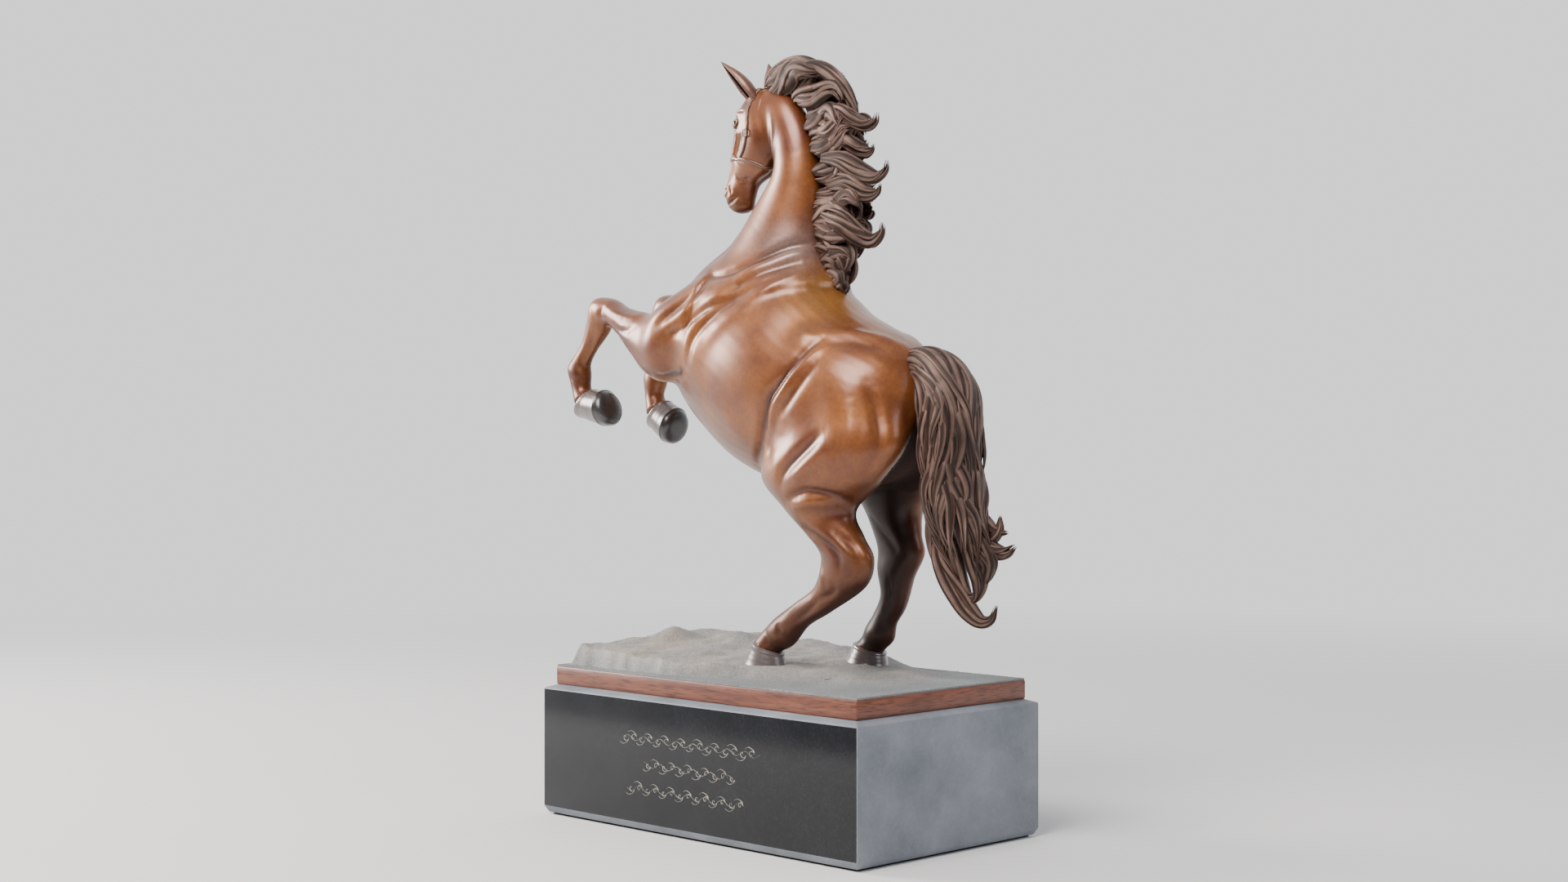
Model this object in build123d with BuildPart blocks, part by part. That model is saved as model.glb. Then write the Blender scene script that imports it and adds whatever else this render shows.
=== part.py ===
"""Rearing horse, bronze, on a cast ground, a wooden board and a polished stone block.

Frame: millimetres, +Z up, origin at the centre of the face it stands on.
The horse faces -X, its left side is -Y. Every casting is its own solid and meets its
neighbours face to face, the way the cast sections are welded edge to edge.
"""

import os
from math import cos, pi, sin

from build123d import *

os.makedirs("parts", exist_ok=True)

# ---------------------------------------------------------------- driving dimensions
block_length = 304.8
block_width = 177.8
felt_thick = 1.5
felt_inset = 5.0
block_top = 92.0  # height of the block's top face above the table
block_edge = 89.5  # height at which the side walls end and the top bevel starts
board_inset = 6.35  # from the block's side to the board's side
board_thick = 12.7
foot_chamfer = 2.5
flange_inset = 0.6
flange_thick = 1.2

board_length = block_length - 2 * board_inset
board_width = block_width - 2 * board_inset
board_top = block_top + board_thick

wall = 3.0  # bronze wall of the hollow castings
outline_sides = 12  # sides of each round outline that a casting is lofted through

# the ground's upper face is a tilted plane
ground_height = 116.5  # at the centre
ground_slope_x = -0.055
ground_slope_y = 0.08
mound_foot = [(-138, -84), (-40, -76), (4, -44), (86, -42), (92, 60), (30, 80), (-100, 82), (-140, 50)]
mound_rim = [(-130, -78), (-44, -70), (8, -38), (80, -36), (84, 54), (26, 74), (-96, 76), (-132, 46)]

# fasteners
block_bolt_radius = 4.0
block_bolt_x = 118.0
block_bolt_y = 60.0
block_bolt_grip = 62.0
bolt_head_radius = 6.5
bolt_head_height = 8.0
counterbore_radius = 11.0
washer_radius = 10.0
washer_thick = 1.6
insert_radius = 6.0
insert_height = 10.0
ground_screw_radius = 2.5
screw_places = [(70, 48), (70, -30), (-100, 50), (-100, -55)]
ground_screw_reach = 4.0  # length of the screw inside the ground's boss
boss_radius = 6.5
stud_radius = 3.0
stud_top = 130.0
stud_places = [(12.0, -28.0), (52.0, 28.0)]
stud_nut_radius = 5.5
stud_nut_height = 5.0
stud_washer_radius = 7.0
stud_washer_thick = 1.0
stud_pocket_radius = 9.0
stud_pocket_depth = 7.0
screw_head_radius = 4.5
screw_head_height = 3.5
screw_pocket_radius = 6.0
bolt_end_gap = 1.0  # the bolts stop short of the ends of their inserts
hole_clearance = 0.5

ground_wall = 3.0
recess_scale = 0.9  # the recess under the mound is the mound's foot drawn in by this factor
mound_ceiling = 145.0  # height that the mound is built to before the tilted plane cuts it

# head fittings
eye_x = -36.0
eye_y = 9.4  # sideways from the middle plane
eye_z = 485.6
eye_radius = 4.0
strap_thick = 1.4
strap_width = 4.0
halter_reach = 30.0
poll_point = (-17, 518)
cheek_point = (-24, 479)
nose_point = (-37, 461)
nose_front = (-60, 468)
nose_rear = (-6, 446)
buckle_x = -25.0
buckle_z = 477.0
buckle_size = 5.0
buckle_reach = 34.0


# ---------------------------------------------------------------- helpers
def section_plane(front, rear, y):
    """Plane across a limb or the body: local x is the width, local y runs from rear to front."""
    middle = ((front[0] + rear[0]) / 2, y, (front[1] + rear[1]) / 2)
    up = Vector(front[0] - rear[0], 0, front[1] - rear[1]).normalized()
    return Plane(origin=middle, x_dir=(0, 1, 0), z_dir=(up.Z, 0, -up.X))


def half_depth(front, rear):
    """Half the distance between the two outline points of a section."""
    return (Vector(*front) - Vector(*rear)).length / 2


def round_outline(across, along):
    """Corners of a round outline with the given half sizes, in the local axes of its plane."""
    turn = 2 * pi / outline_sides
    return [(across * cos(i * turn), along * sin(i * turn)) for i in range(outline_sides)]


def casting(sections, shrink=0.0):
    """A cast section: flat-sided round outlines lofted in straight bands. shrink gives its hollow core."""
    with BuildPart() as made:
        for front, rear, half_width, y in sections:
            corners = round_outline(half_width - shrink, half_depth(front, rear) - shrink)
            with BuildSketch(section_plane(front, rear, y)):
                with BuildLine():
                    Polyline(*corners, close=True)
                make_face()
        loft(ruled=True)
    return made


def horn(stations):
    """A tapered casting along a bent line. Each station is (x, y, z, radius)."""
    run = Vector(*stations[-1][:3]) - Vector(*stations[0][:3])
    with BuildPart() as made:
        for x, y, z, radius in stations:
            with BuildSketch(Plane(origin=(x, y, z), x_dir=(-run.Z, 0, run.X), z_dir=run)):
                with BuildLine():
                    Polyline(*round_outline(radius, radius), close=True)
                make_face()
        loft(ruled=True)
    return made


def slab(start, end, thick, half_reach):
    """A flat plate that spans both sides of the horse between two points (x, z) of its middle plane."""
    run = Vector(end[0] - start[0], 0, end[1] - start[1])
    middle = ((start[0] + end[0]) / 2, 0, (start[1] + end[1]) / 2)
    with BuildPart() as made:
        with BuildSketch(Plane(origin=middle, x_dir=(0, 1, 0), z_dir=run)):
            Rectangle(2 * half_reach, thick)
        extrude(amount=run.length / 2, both=True)
    return made


def trim(made, *neighbours):
    """Cuts a casting back to the surface of the ones that it is welded to."""
    for other in neighbours:
        made.part = made.part - other.part
    return made


def write(made, name):
    """Labels the node's solids and writes one STEP file named after the node."""
    solids = [s for s in made.part.solids() if s.volume > 1.0]
    made.part = Part(Compound(solids).wrapped) if len(solids) > 1 else Part(solids[0].wrapped)
    made.part.label = name
    export_step(made.part, f"parts/{name}.step")


# ---------------------------------------------------------------- horse: outline sections
# Each section is (front or upper outline point (x, z), rear or lower point (x, z), half width, y).
torso_sections = [
    ((-66, 382), (-90, 338), 22, 0),
    ((-48, 394), (-93, 314), 38, 0),
    ((-5, 390), (-82, 290), 49, 0),
    ((42, 372), (-58, 268), 56, 0),
    ((70, 352), (-32, 250), 57, 0),
    ((90, 342), (-2, 238), 54, 0),
    ((109, 333), (30, 232), 50, 0),
    ((124, 322), (66, 232), 44, 0),
    ((133, 306), (104, 240), 32, 0),
    ((136, 290), (124, 258), 16, 0),
]
barrel_end = 6  # the barrel runs to this section, and the hindquarters go on from it

neck_sections = [
    ((50, 372), (-76, 352), 40, 0),
    ((38, 392), (-64, 380), 32, 0),
    ((35, 412), (-43, 403), 25, 0),
    ((35, 434), (-24, 425), 19, 0),
    ((32, 458), (-8, 443), 15.5, 0),
    ((24, 481), (-5, 455), 14, 0),
    ((8, 501), (-6, 464), 12.5, 0),
    ((-12, 510), (-12, 474), 11, 0),
]

head_sections = [
    ((-24, 511), (-4, 503), 7, 0),
    ((-36, 502), (-1, 489), 12.5, 0),
    ((-43, 491), (1, 477), 14.5, 0),
    ((-46, 477), (-1, 463), 13.5, 0),
    ((-49, 464), (-10, 451), 11.5, 0),
    ((-52, 452), (-25, 443), 8.5, 0),
    ((-55, 442), (-30, 434), 8.5, 0),
    ((-54, 433), (-32, 427), 7.5, 0),
    ((-49, 427), (-37, 425), 5, 0),
]

left_foreleg_sections = [
    ((-42, 378), (-56, 312), 18, -30),
    ((-72, 367), (-82, 306), 20, -34),
    ((-94, 356), (-99, 311), 16, -34),
    ((-110, 357), (-112, 322), 13.5, -33.5),
    ((-128, 361), (-127, 335), 11.5, -32.5),
    ((-145, 368), (-143, 347), 10, -31),
    ((-164, 368), (-150, 347), 10, -30.5),
    ((-172, 352), (-154, 342), 8, -30),
    ((-178.5, 338), (-166, 330), 5.8, -30),
    ((-187, 328), (-173.5, 320), 6.2, -30),
    ((-194, 319), (-173.5, 313), 8, -30),
    ((-189.5, 304), (-173.5, 303), 7, -30),
    ((-184, 290), (-168, 299), 9, -30),
]

right_foreleg_sections = [
    ((-42, 378), (-56, 312), 18, 30),
    ((-72, 367), (-82, 306), 20, 33),
    ((-95, 358), (-99, 312), 16, 33),
    ((-110, 362), (-111, 327), 13.5, 33),
    ((-127, 367), (-124, 342), 11.5, 32),
    ((-143, 373), (-139, 352), 10, 31),
    ((-161, 372), (-149, 350), 10, 30.5),
    ((-169, 355), (-151, 347), 8, 30),
    ((-171, 336), (-156, 333), 5.8, 30),
    ((-173.5, 322), (-158, 320), 6.2, 30),
    ((-177, 313), (-156.5, 309), 8, 30),
    ((-175, 299), (-159.5, 299), 7, 29.5),
    ((-171, 283), (-156, 292), 9, 29),
]

left_hind_sections = [
    ((52, 318), (124, 292), 20, -20),
    ((24, 272), (132, 264), 27, -25),
    ((14, 242), (117, 240), 25, -30),
    ((36, 220), (93, 219), 18.5, -31),
    ((55, 203), (101, 202), 14, -30.5),
    ((66, 191), (110, 188), 11.5, -30),
    ((65, 179), (103, 170), 10.5, -29.5),
    ((57.3, 166.6), (72, 152), 7.5, -29),
    ((38.5, 155.7), (50.5, 141.3), 7.2, -28.5),
    ((22, 146), (36, 128), 9, -28),
    ((12, 138), (26, 123.5), 8.5, -28),
    ((3.5, 130), (21, 121), 10, -28),
]

right_hind_sections = [
    ((52, 318), (124, 292), 20, 20),
    ((32, 272), (132, 264), 26, 25),
    ((37, 240), (114, 238), 24, 28),
    ((52, 220), (99, 219), 17, 29),
    ((60, 203), (99, 203), 13, 29),
    ((64, 191), (102, 189), 11, 28.5),
    ((64, 178), (93, 172), 10, 28),
    ((66.5, 161.5), (85.5, 152.5), 7.5, 28),
    ((60, 148), (78, 141), 7.2, 28),
    ((53.5, 139), (75, 130), 9, 28),
    ((50, 132), (67, 123), 8.5, 28),
    ((45, 127), (64, 120.5), 10, 28),
]

mane_sections = [
    ((0, 523), (-12, 506), 7, 2),
    ((32, 524), (8, 498), 12, 6),
    ((62, 505), (24, 478), 14, 9),
    ((76, 474), (30, 454), 15, 12),
    ((80, 440), (29, 430), 15, 12),
    ((78, 405), (29, 405), 14, 11),
    ((62, 383), (34, 386), 11, 8),
    ((52, 366), (42, 372), 6, 4),
]
mane_upper_end = 3  # sections shared by the upper and middle, and the middle and lower, mane castings
mane_middle_end = 5

tail_sections = [
    ((118, 320), (114, 300), 9, 0),
    ((143, 319), (129, 295), 14, 0),
    ((164, 299), (134, 285), 18, 0),
    ((171, 271), (133, 269), 20, 0),
    ((172, 245), (132, 245), 21, 0),
    ((172, 222), (132, 218), 20, 0),
    ((176, 204), (144, 192), 16, 4),
    ((174, 184), (146, 176), 11, 8),
    ((172, 166), (154, 158), 6, 10),
]
tail_upper_end = 4  # section shared by the two tail castings

left_hoof_front_sections = [
    ((-184, 290), (-168, 299), 9, -30),
    ((-152, 274), (-146, 301), 12, -30),
    ((-141, 275), (-145, 300), 12.5, -30),
]
right_hoof_front_sections = [
    ((-171, 283), (-156, 292), 9, 29),
    ((-152, 262), (-141, 287), 12, 29),
    ((-143, 259), (-135, 284), 12.5, 29),
]
left_hoof_hind_sections = [
    ((3.5, 130), (21, 121), 10, -28),
    ((-5, 112), (23, 110), 12.5, -28),
]
right_hoof_hind_sections = [
    ((45, 127), (64, 120.5), 10, 28),
    ((36, 114), (64, 112), 12.5, 28),
]

# ---------------------------------------------------------------- horse: body castings
barrel_sections = torso_sections[: barrel_end + 1]
hindquarter_sections = torso_sections[barrel_end:]

barrel_outer = casting(barrel_sections)
hindquarters_outer = casting(hindquarter_sections)
neck_outer = casting(neck_sections)
head_outer = casting(head_sections)

barrel = trim(casting(barrel_sections), casting(barrel_sections[1:], shrink=wall))
hindquarters = trim(casting(hindquarter_sections), casting(hindquarter_sections[:-1], shrink=wall))
neck = trim(casting(neck_sections), casting(neck_sections[:-1], shrink=wall), barrel_outer)

left_foreleg = trim(casting(left_foreleg_sections), barrel_outer, neck_outer)
right_foreleg = trim(casting(right_foreleg_sections), barrel_outer, neck_outer)
left_hind_leg = trim(casting(left_hind_sections), barrel_outer, hindquarters_outer)
right_hind_leg = trim(casting(right_hind_sections), barrel_outer, hindquarters_outer)
with left_hind_leg:
    split(bisect_by=Plane.XZ, keep=Keep.TOP)
with right_hind_leg:
    split(bisect_by=Plane.XZ, keep=Keep.BOTTOM)

# ---------------------------------------------------------------- horse: head, ears, eyes
with BuildPart() as left_eye:
    with Locations((eye_x, -eye_y, eye_z)):
        Sphere(eye_radius)

with BuildPart() as right_eye:
    with Locations((eye_x, eye_y, eye_z)):
        Sphere(eye_radius)

head = trim(casting(head_sections), neck_outer, left_eye, right_eye)
left_ear_blank = horn([(-23, -7, 501, 5), (-31, -10, 513, 5.5), (-40, -14, 523, 3.5), (-46, -16, 529, 0.8)])
right_ear_blank = horn([(-17, 7, 503, 5), (-22, 10, 514, 5.5), (-28, 14, 524, 3.5), (-31.5, 16, 530.5, 0.8)])
left_ear = trim(left_ear_blank, head_outer)
right_ear = trim(right_ear_blank, head_outer)

# ---------------------------------------------------------------- horse: hooves
ground_plane = Plane(origin=(0, 0, ground_height), z_dir=(-ground_slope_x, -ground_slope_y, 1))

left_fore_hoof = casting(left_hoof_front_sections)
right_fore_hoof = casting(right_hoof_front_sections)

left_hind_hoof = casting(left_hoof_hind_sections)
with left_hind_hoof:
    split(bisect_by=ground_plane, keep=Keep.TOP)

right_hind_hoof = casting(right_hoof_hind_sections)
with right_hind_hoof:
    split(bisect_by=ground_plane, keep=Keep.TOP)

# ---------------------------------------------------------------- horse: mane and tail
mane_upper = trim(casting(mane_sections[: mane_upper_end + 1]), neck_outer, head_outer, right_ear)
mane_middle = trim(casting(mane_sections[mane_upper_end : mane_middle_end + 1]), neck_outer)
mane_lower = trim(casting(mane_sections[mane_middle_end:]), neck_outer, barrel_outer)

tail_upper = trim(casting(tail_sections[: tail_upper_end + 1]), hindquarters_outer)
tail_lower = casting(tail_sections[tail_upper_end:])

curl_right = trim(horn([(168, 8, 198, 10), (178, 13, 194, 9), (192, 17, 199, 1.5)]), tail_lower)
curl_low = trim(horn([(160, 8, 170, 9), (168, 10, 160, 8), (182, 10, 161, 1.5)]), tail_lower)
with BuildPart() as tail_curls:
    add(curl_right.part)
    add(curl_low.part)

# ---------------------------------------------------------------- horse: halter
head_grown = casting(head_sections, shrink=-strap_thick)


def strap(start, end):
    """A halter strap: the head's skin grown by the strap's thickness, cut to a band."""
    made = slab(start, end, strap_width, halter_reach)
    made.part = made.part & head_grown.part
    return trim(made, head_outer, neck_outer, left_eye, right_eye, left_ear, right_ear)


halter_crown = strap(poll_point, cheek_point)
halter_cheeks = strap(cheek_point, nose_point)
halter_noseband = strap(nose_front, nose_rear)
halter_cheeks = trim(halter_cheeks, halter_crown, halter_noseband)

with BuildPart() as halter_buckles:
    with Locations((buckle_x, 0, buckle_z)):
        Box(buckle_size, buckle_reach, buckle_size)
halter_buckles = trim(halter_buckles, head_grown)

# ---------------------------------------------------------------- ground casting
recess_foot = [(x * recess_scale, y * recess_scale) for x, y in mound_foot]

with BuildPart() as mound_outer:
    with BuildSketch(Plane.XY.offset(board_top)):
        Polygon(*mound_foot, align=None)
    with BuildSketch(Plane.XY.offset(mound_ceiling)):
        Polygon(*mound_rim, align=None)
    loft(ruled=True)
    split(bisect_by=ground_plane, keep=Keep.BOTTOM)

with BuildPart() as recess:
    with BuildSketch(Plane.XY.offset(board_top)):
        Polygon(*recess_foot, align=None)
        with Locations(*stud_places, *screw_places):
            Circle(boss_radius, mode=Mode.SUBTRACT)
    extrude(amount=mound_ceiling - board_top)
    split(bisect_by=ground_plane.offset(-ground_wall), keep=Keep.BOTTOM)

with BuildPart() as ground_casting:
    with Locations((0, 0, board_top)):
        Box(
            board_length - 2 * flange_inset,
            board_width - 2 * flange_inset,
            flange_thick,
            align=(Align.CENTER, Align.CENTER, Align.MIN),
        )
    add(mound_outer.part)
    add(recess.part, mode=Mode.SUBTRACT)
    with BuildSketch(Plane.XY.offset(board_top)):
        with Locations(*screw_places):
            Circle(ground_screw_radius)
    extrude(amount=ground_screw_reach, mode=Mode.SUBTRACT)
    with BuildSketch(Plane.XY.offset(board_top)):
        with Locations(*stud_places):
            Circle(stud_radius + hole_clearance)
    extrude(amount=mound_ceiling, mode=Mode.SUBTRACT)

# ---------------------------------------------------------------- studs that hold the hind feet
with BuildPart() as stud_bores:
    with BuildSketch(Plane.XY.offset(block_top)):
        with Locations(*stud_places):
            Circle(stud_radius)
    extrude(amount=stud_top - block_top)

left_hind_leg = trim(left_hind_leg, stud_bores)
right_hind_leg = trim(right_hind_leg, stud_bores)
left_hind_hoof = trim(left_hind_hoof, stud_bores)
right_hind_hoof = trim(right_hind_hoof, stud_bores)

pocket_roof = block_top + stud_pocket_depth
stud_nut_top = pocket_roof - stud_washer_thick
stud_nut_foot = stud_nut_top - stud_nut_height

with BuildPart() as hoof_studs:
    with BuildSketch(Plane.XY.offset(stud_nut_foot)):
        with Locations(*stud_places):
            Circle(stud_radius)
    extrude(amount=stud_top - stud_nut_foot)

with BuildPart() as stud_washers:
    with BuildSketch(Plane.XY.offset(stud_nut_top)):
        with Locations(*stud_places):
            Circle(stud_washer_radius)
            Circle(stud_radius + hole_clearance, mode=Mode.SUBTRACT)
    extrude(amount=stud_washer_thick)

with BuildPart() as stud_nuts:
    with BuildSketch(Plane.XY.offset(stud_nut_foot)):
        with Locations(*stud_places):
            RegularPolygon(stud_nut_radius, 6)
            Circle(stud_radius, mode=Mode.SUBTRACT)
    extrude(amount=stud_nut_height)

# ---------------------------------------------------------------- ground screws, up through the board
screw_head_foot = pocket_roof - screw_head_height
with BuildPart() as ground_screws:
    with BuildSketch(Plane.XY.offset(screw_head_foot)):
        with Locations(*screw_places):
            Circle(screw_head_radius)
    extrude(amount=screw_head_height)
    with BuildSketch(Plane.XY.offset(pocket_roof)):
        with Locations(*screw_places):
            Circle(ground_screw_radius)
    extrude(amount=board_top + ground_screw_reach - pocket_roof)

# ---------------------------------------------------------------- wooden board
bolt_places = [(block_bolt_x, block_bolt_y), (-block_bolt_x, block_bolt_y)]
bolt_places += [(block_bolt_x, -block_bolt_y), (-block_bolt_x, -block_bolt_y)]

with BuildPart() as wood_board:
    with BuildSketch(Plane.XY.offset(block_top)):
        Rectangle(board_length, board_width)
    extrude(amount=board_thick)
    with BuildSketch(Plane.XY.offset(block_top)):
        with Locations(*bolt_places):
            Circle(insert_radius)
    extrude(amount=insert_height, mode=Mode.SUBTRACT)
    with BuildSketch(Plane.XY.offset(block_top)):
        with Locations(*stud_places):
            Circle(stud_pocket_radius)
        with Locations(*screw_places):
            Circle(screw_pocket_radius)
    extrude(amount=stud_pocket_depth, mode=Mode.SUBTRACT)
    with BuildSketch(Plane.XY.offset(block_top)):
        with Locations(*stud_places):
            Circle(stud_radius + hole_clearance)
        with Locations(*screw_places):
            Circle(ground_screw_radius + hole_clearance)
    extrude(amount=board_thick, mode=Mode.SUBTRACT)

with BuildPart() as board_inserts:
    with BuildSketch(Plane.XY.offset(block_top)):
        with Locations(*bolt_places):
            Circle(insert_radius)
            Circle(block_bolt_radius, mode=Mode.SUBTRACT)
    extrude(amount=insert_height)

# ---------------------------------------------------------------- stone block
grip_foot = block_top - block_bolt_grip
with BuildPart() as granite_block:
    with BuildSketch(Plane.XY.offset(felt_thick)):
        Rectangle(block_length, block_width)
    extrude(amount=block_edge - felt_thick)
    chamfer(granite_block.faces().sort_by(Axis.Z)[0].edges(), foot_chamfer)
    with BuildSketch(Plane.XY.offset(block_edge)):
        Rectangle(block_length, block_width)
    with BuildSketch(Plane.XY.offset(block_top)):
        Rectangle(board_length, board_width)
    loft(ruled=True)
    with BuildSketch(Plane.XY.offset(felt_thick)):
        with Locations(*bolt_places):
            Circle(counterbore_radius)
    extrude(amount=grip_foot - felt_thick, mode=Mode.SUBTRACT)
    with BuildSketch(Plane.XY.offset(felt_thick)):
        with Locations(*bolt_places):
            Circle(block_bolt_radius + hole_clearance)
    extrude(amount=block_top - felt_thick, mode=Mode.SUBTRACT)

with BuildPart() as felt_pad:
    with BuildSketch():
        Rectangle(block_length - 2 * felt_inset, block_width - 2 * felt_inset)
    extrude(amount=felt_thick)

# ---------------------------------------------------------------- block bolts, up through the stone
with BuildPart() as block_washers:
    with BuildSketch(Plane.XY.offset(grip_foot - washer_thick)):
        with Locations(*bolt_places):
            Circle(washer_radius)
            Circle(block_bolt_radius + hole_clearance, mode=Mode.SUBTRACT)
    extrude(amount=washer_thick)

bolt_head_foot = grip_foot - washer_thick - bolt_head_height
with BuildPart() as block_bolts:
    with BuildSketch(Plane.XY.offset(bolt_head_foot)):
        with Locations(*bolt_places):
            RegularPolygon(bolt_head_radius, 6)
    extrude(amount=bolt_head_height)
    with BuildSketch(Plane.XY.offset(bolt_head_foot + bolt_head_height)):
        with Locations(*bolt_places):
            Circle(block_bolt_radius)
    extrude(amount=washer_thick + block_bolt_grip + insert_height - bolt_end_gap)

# ---------------------------------------------------------------- files
write(felt_pad, "felt_pad")
write(granite_block, "granite_block")
write(block_bolts, "block_bolts")
write(block_washers, "block_washers")
write(board_inserts, "board_inserts")
write(wood_board, "wood_board")
write(ground_screws, "ground_screws")
write(ground_casting, "ground_casting")
write(hoof_studs, "hoof_studs")
write(stud_washers, "stud_washers")
write(stud_nuts, "stud_nuts")
write(barrel, "barrel")
write(hindquarters, "hindquarters")
write(neck, "neck")
write(head, "head")
write(left_ear, "left_ear")
write(right_ear, "right_ear")
write(left_eye, "left_eye")
write(right_eye, "right_eye")
write(left_foreleg, "left_foreleg")
write(right_foreleg, "right_foreleg")
write(left_fore_hoof, "left_fore_hoof")
write(right_fore_hoof, "right_fore_hoof")
write(left_hind_leg, "left_hind_leg")
write(right_hind_leg, "right_hind_leg")
write(left_hind_hoof, "left_hind_hoof")
write(right_hind_hoof, "right_hind_hoof")
write(mane_upper, "mane_upper")
write(mane_middle, "mane_middle")
write(mane_lower, "mane_lower")
write(tail_upper, "tail_upper")
write(tail_lower, "tail_lower")
write(tail_curls, "tail_curls")
write(halter_crown, "halter_crown")
write(halter_cheeks, "halter_cheeks")
write(halter_noseband, "halter_noseband")
write(halter_buckles, "halter_buckles")
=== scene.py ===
import bpy
import numpy as np
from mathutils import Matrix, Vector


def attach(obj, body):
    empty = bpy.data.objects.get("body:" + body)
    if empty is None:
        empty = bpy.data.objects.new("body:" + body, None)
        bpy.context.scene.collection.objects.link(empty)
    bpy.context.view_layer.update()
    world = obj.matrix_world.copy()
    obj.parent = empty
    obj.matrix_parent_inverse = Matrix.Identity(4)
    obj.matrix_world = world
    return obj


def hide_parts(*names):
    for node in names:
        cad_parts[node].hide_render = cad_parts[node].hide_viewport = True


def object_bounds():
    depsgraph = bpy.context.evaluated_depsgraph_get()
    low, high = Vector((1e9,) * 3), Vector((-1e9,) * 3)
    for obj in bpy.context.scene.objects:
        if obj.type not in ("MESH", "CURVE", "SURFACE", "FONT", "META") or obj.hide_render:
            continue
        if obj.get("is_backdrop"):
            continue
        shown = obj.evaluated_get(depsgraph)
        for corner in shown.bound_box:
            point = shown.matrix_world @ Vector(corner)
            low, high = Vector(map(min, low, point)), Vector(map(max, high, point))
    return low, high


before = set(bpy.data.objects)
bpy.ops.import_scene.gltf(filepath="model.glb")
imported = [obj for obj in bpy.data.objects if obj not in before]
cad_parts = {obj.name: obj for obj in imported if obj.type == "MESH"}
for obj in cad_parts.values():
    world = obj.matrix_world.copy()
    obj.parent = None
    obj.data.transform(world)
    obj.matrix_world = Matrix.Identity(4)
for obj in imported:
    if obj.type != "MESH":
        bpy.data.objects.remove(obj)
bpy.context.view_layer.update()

import openvdb
from mathutils import Vector

MM = 0.001

# ------------------------------------------------------------------ studio
# A pale grey floor that fades out into a bright wall of even light, with the room darker towards the
# horse's left. Three round soft boxes put broad pale patches on the dark brown bronze.


def paint(hex_code):
    """An sRGB hex colour as linear red, green, blue, alpha: the power curve above its small straight foot."""
    srgb = np.array([int(hex_code[i : i + 2], 16) / 255 for i in (1, 3, 5)])
    linear = np.where(srgb <= 0.04045, srgb / 12.92, ((srgb + 0.055) / 1.055) ** 2.4)
    return (*linear.tolist(), 1.0)


def add(tree, kind, settings=None, links=None, **properties):
    """Adds one node: properties by name, socket values from settings, and links from (node, output) pairs."""
    made = tree.nodes.new(kind)
    for name, value in properties.items():
        setattr(made, name, value)
    for socket, value in (settings or {}).items():
        made.inputs[socket].default_value = value
    for socket, (source, output) in (links or {}).items():
        tree.links.new(source.outputs[output], made.inputs[socket])
    return made


def new_material(name):
    """An empty node material and its Principled shader, already joined to the output."""
    material = bpy.data.materials.new(name)
    material.use_nodes = True
    tree = material.node_tree
    return material, tree, tree.nodes["Principled BSDF"]


def ramp(tree, source, output, stops):
    """A colour ramp over a grey value, with stops of (position, hex colour)."""
    made = add(tree, "ShaderNodeValToRGB", links={0: (source, output)})
    bars = made.color_ramp.elements
    while len(bars) < len(stops):
        bars.new(0.5)
    for bar, (place, colour) in zip(bars, stops):
        bar.position = place
        bar.color = paint(colour)
    return made


def build(name, points, quads, tris=(), uvs=None, floats=None, creases=40, slots=()):
    """A mesh from an (n, 3) array of points in mm, quads and triangles, smooth below the crease angle.
    The sum of a . (b x c) over its triangles is six times its volume, and a mesh where that is
    negative is turned over."""
    mesh = bpy.data.meshes.new(name)
    points = np.asarray(points, float)
    quads = np.asarray(quads, np.int32).reshape(-1, 4)
    tris = np.asarray(tris, np.int32).reshape(-1, 3)
    split = np.vstack([quads[:, [0, 1, 2]], quads[:, [0, 2, 3]], tris])
    a, b, c = (points[split[:, i]] - points.mean(0) for i in range(3))
    if (a * np.cross(b, c)).sum() < -1:
        quads, tris = quads[:, ::-1], tris[:, ::-1]
    corners = np.concatenate([quads.ravel(), tris.ravel()])
    starts = np.concatenate([np.arange(len(quads)) * 4, len(quads) * 4 + np.arange(len(tris)) * 3])
    mesh.vertices.add(len(points))
    mesh.vertices.foreach_set("co", (points * MM).astype(np.float32).ravel())
    mesh.loops.add(len(corners))
    mesh.loops.foreach_set("vertex_index", corners.astype(np.int32))
    mesh.polygons.add(len(starts))
    mesh.polygons.foreach_set("loop_start", starts.astype(np.int32))
    mesh.update(calc_edges=True)
    mesh.polygons.foreach_set("use_smooth", np.ones(len(starts), bool))
    if uvs is not None:
        layer = mesh.uv_layers.new(name="surface")
        layer.data.foreach_set("uv", np.asarray(uvs, np.float32)[corners].ravel())
    for label, values in (floats or {}).items():
        mesh.attributes.new(label, "FLOAT", "POINT").data.foreach_set("value", np.asarray(values, np.float32))
    mesh.validate()
    mesh.set_sharp_from_angle(angle=np.radians(creases))
    made = bpy.data.objects.new(name, mesh)
    bpy.context.scene.collection.objects.link(made)
    for material in slots:
        mesh.materials.append(material)
    return made


def tube_faces(rings, around):
    """Quads that join each ring of a grid to the next, closed round the ring."""
    index = np.arange(rings * around).reshape(rings, around)
    after = np.roll(index, -1, 1)
    return np.stack([index[:-1], after[:-1], after[1:], index[1:]], -1).reshape(-1, 4)


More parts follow.
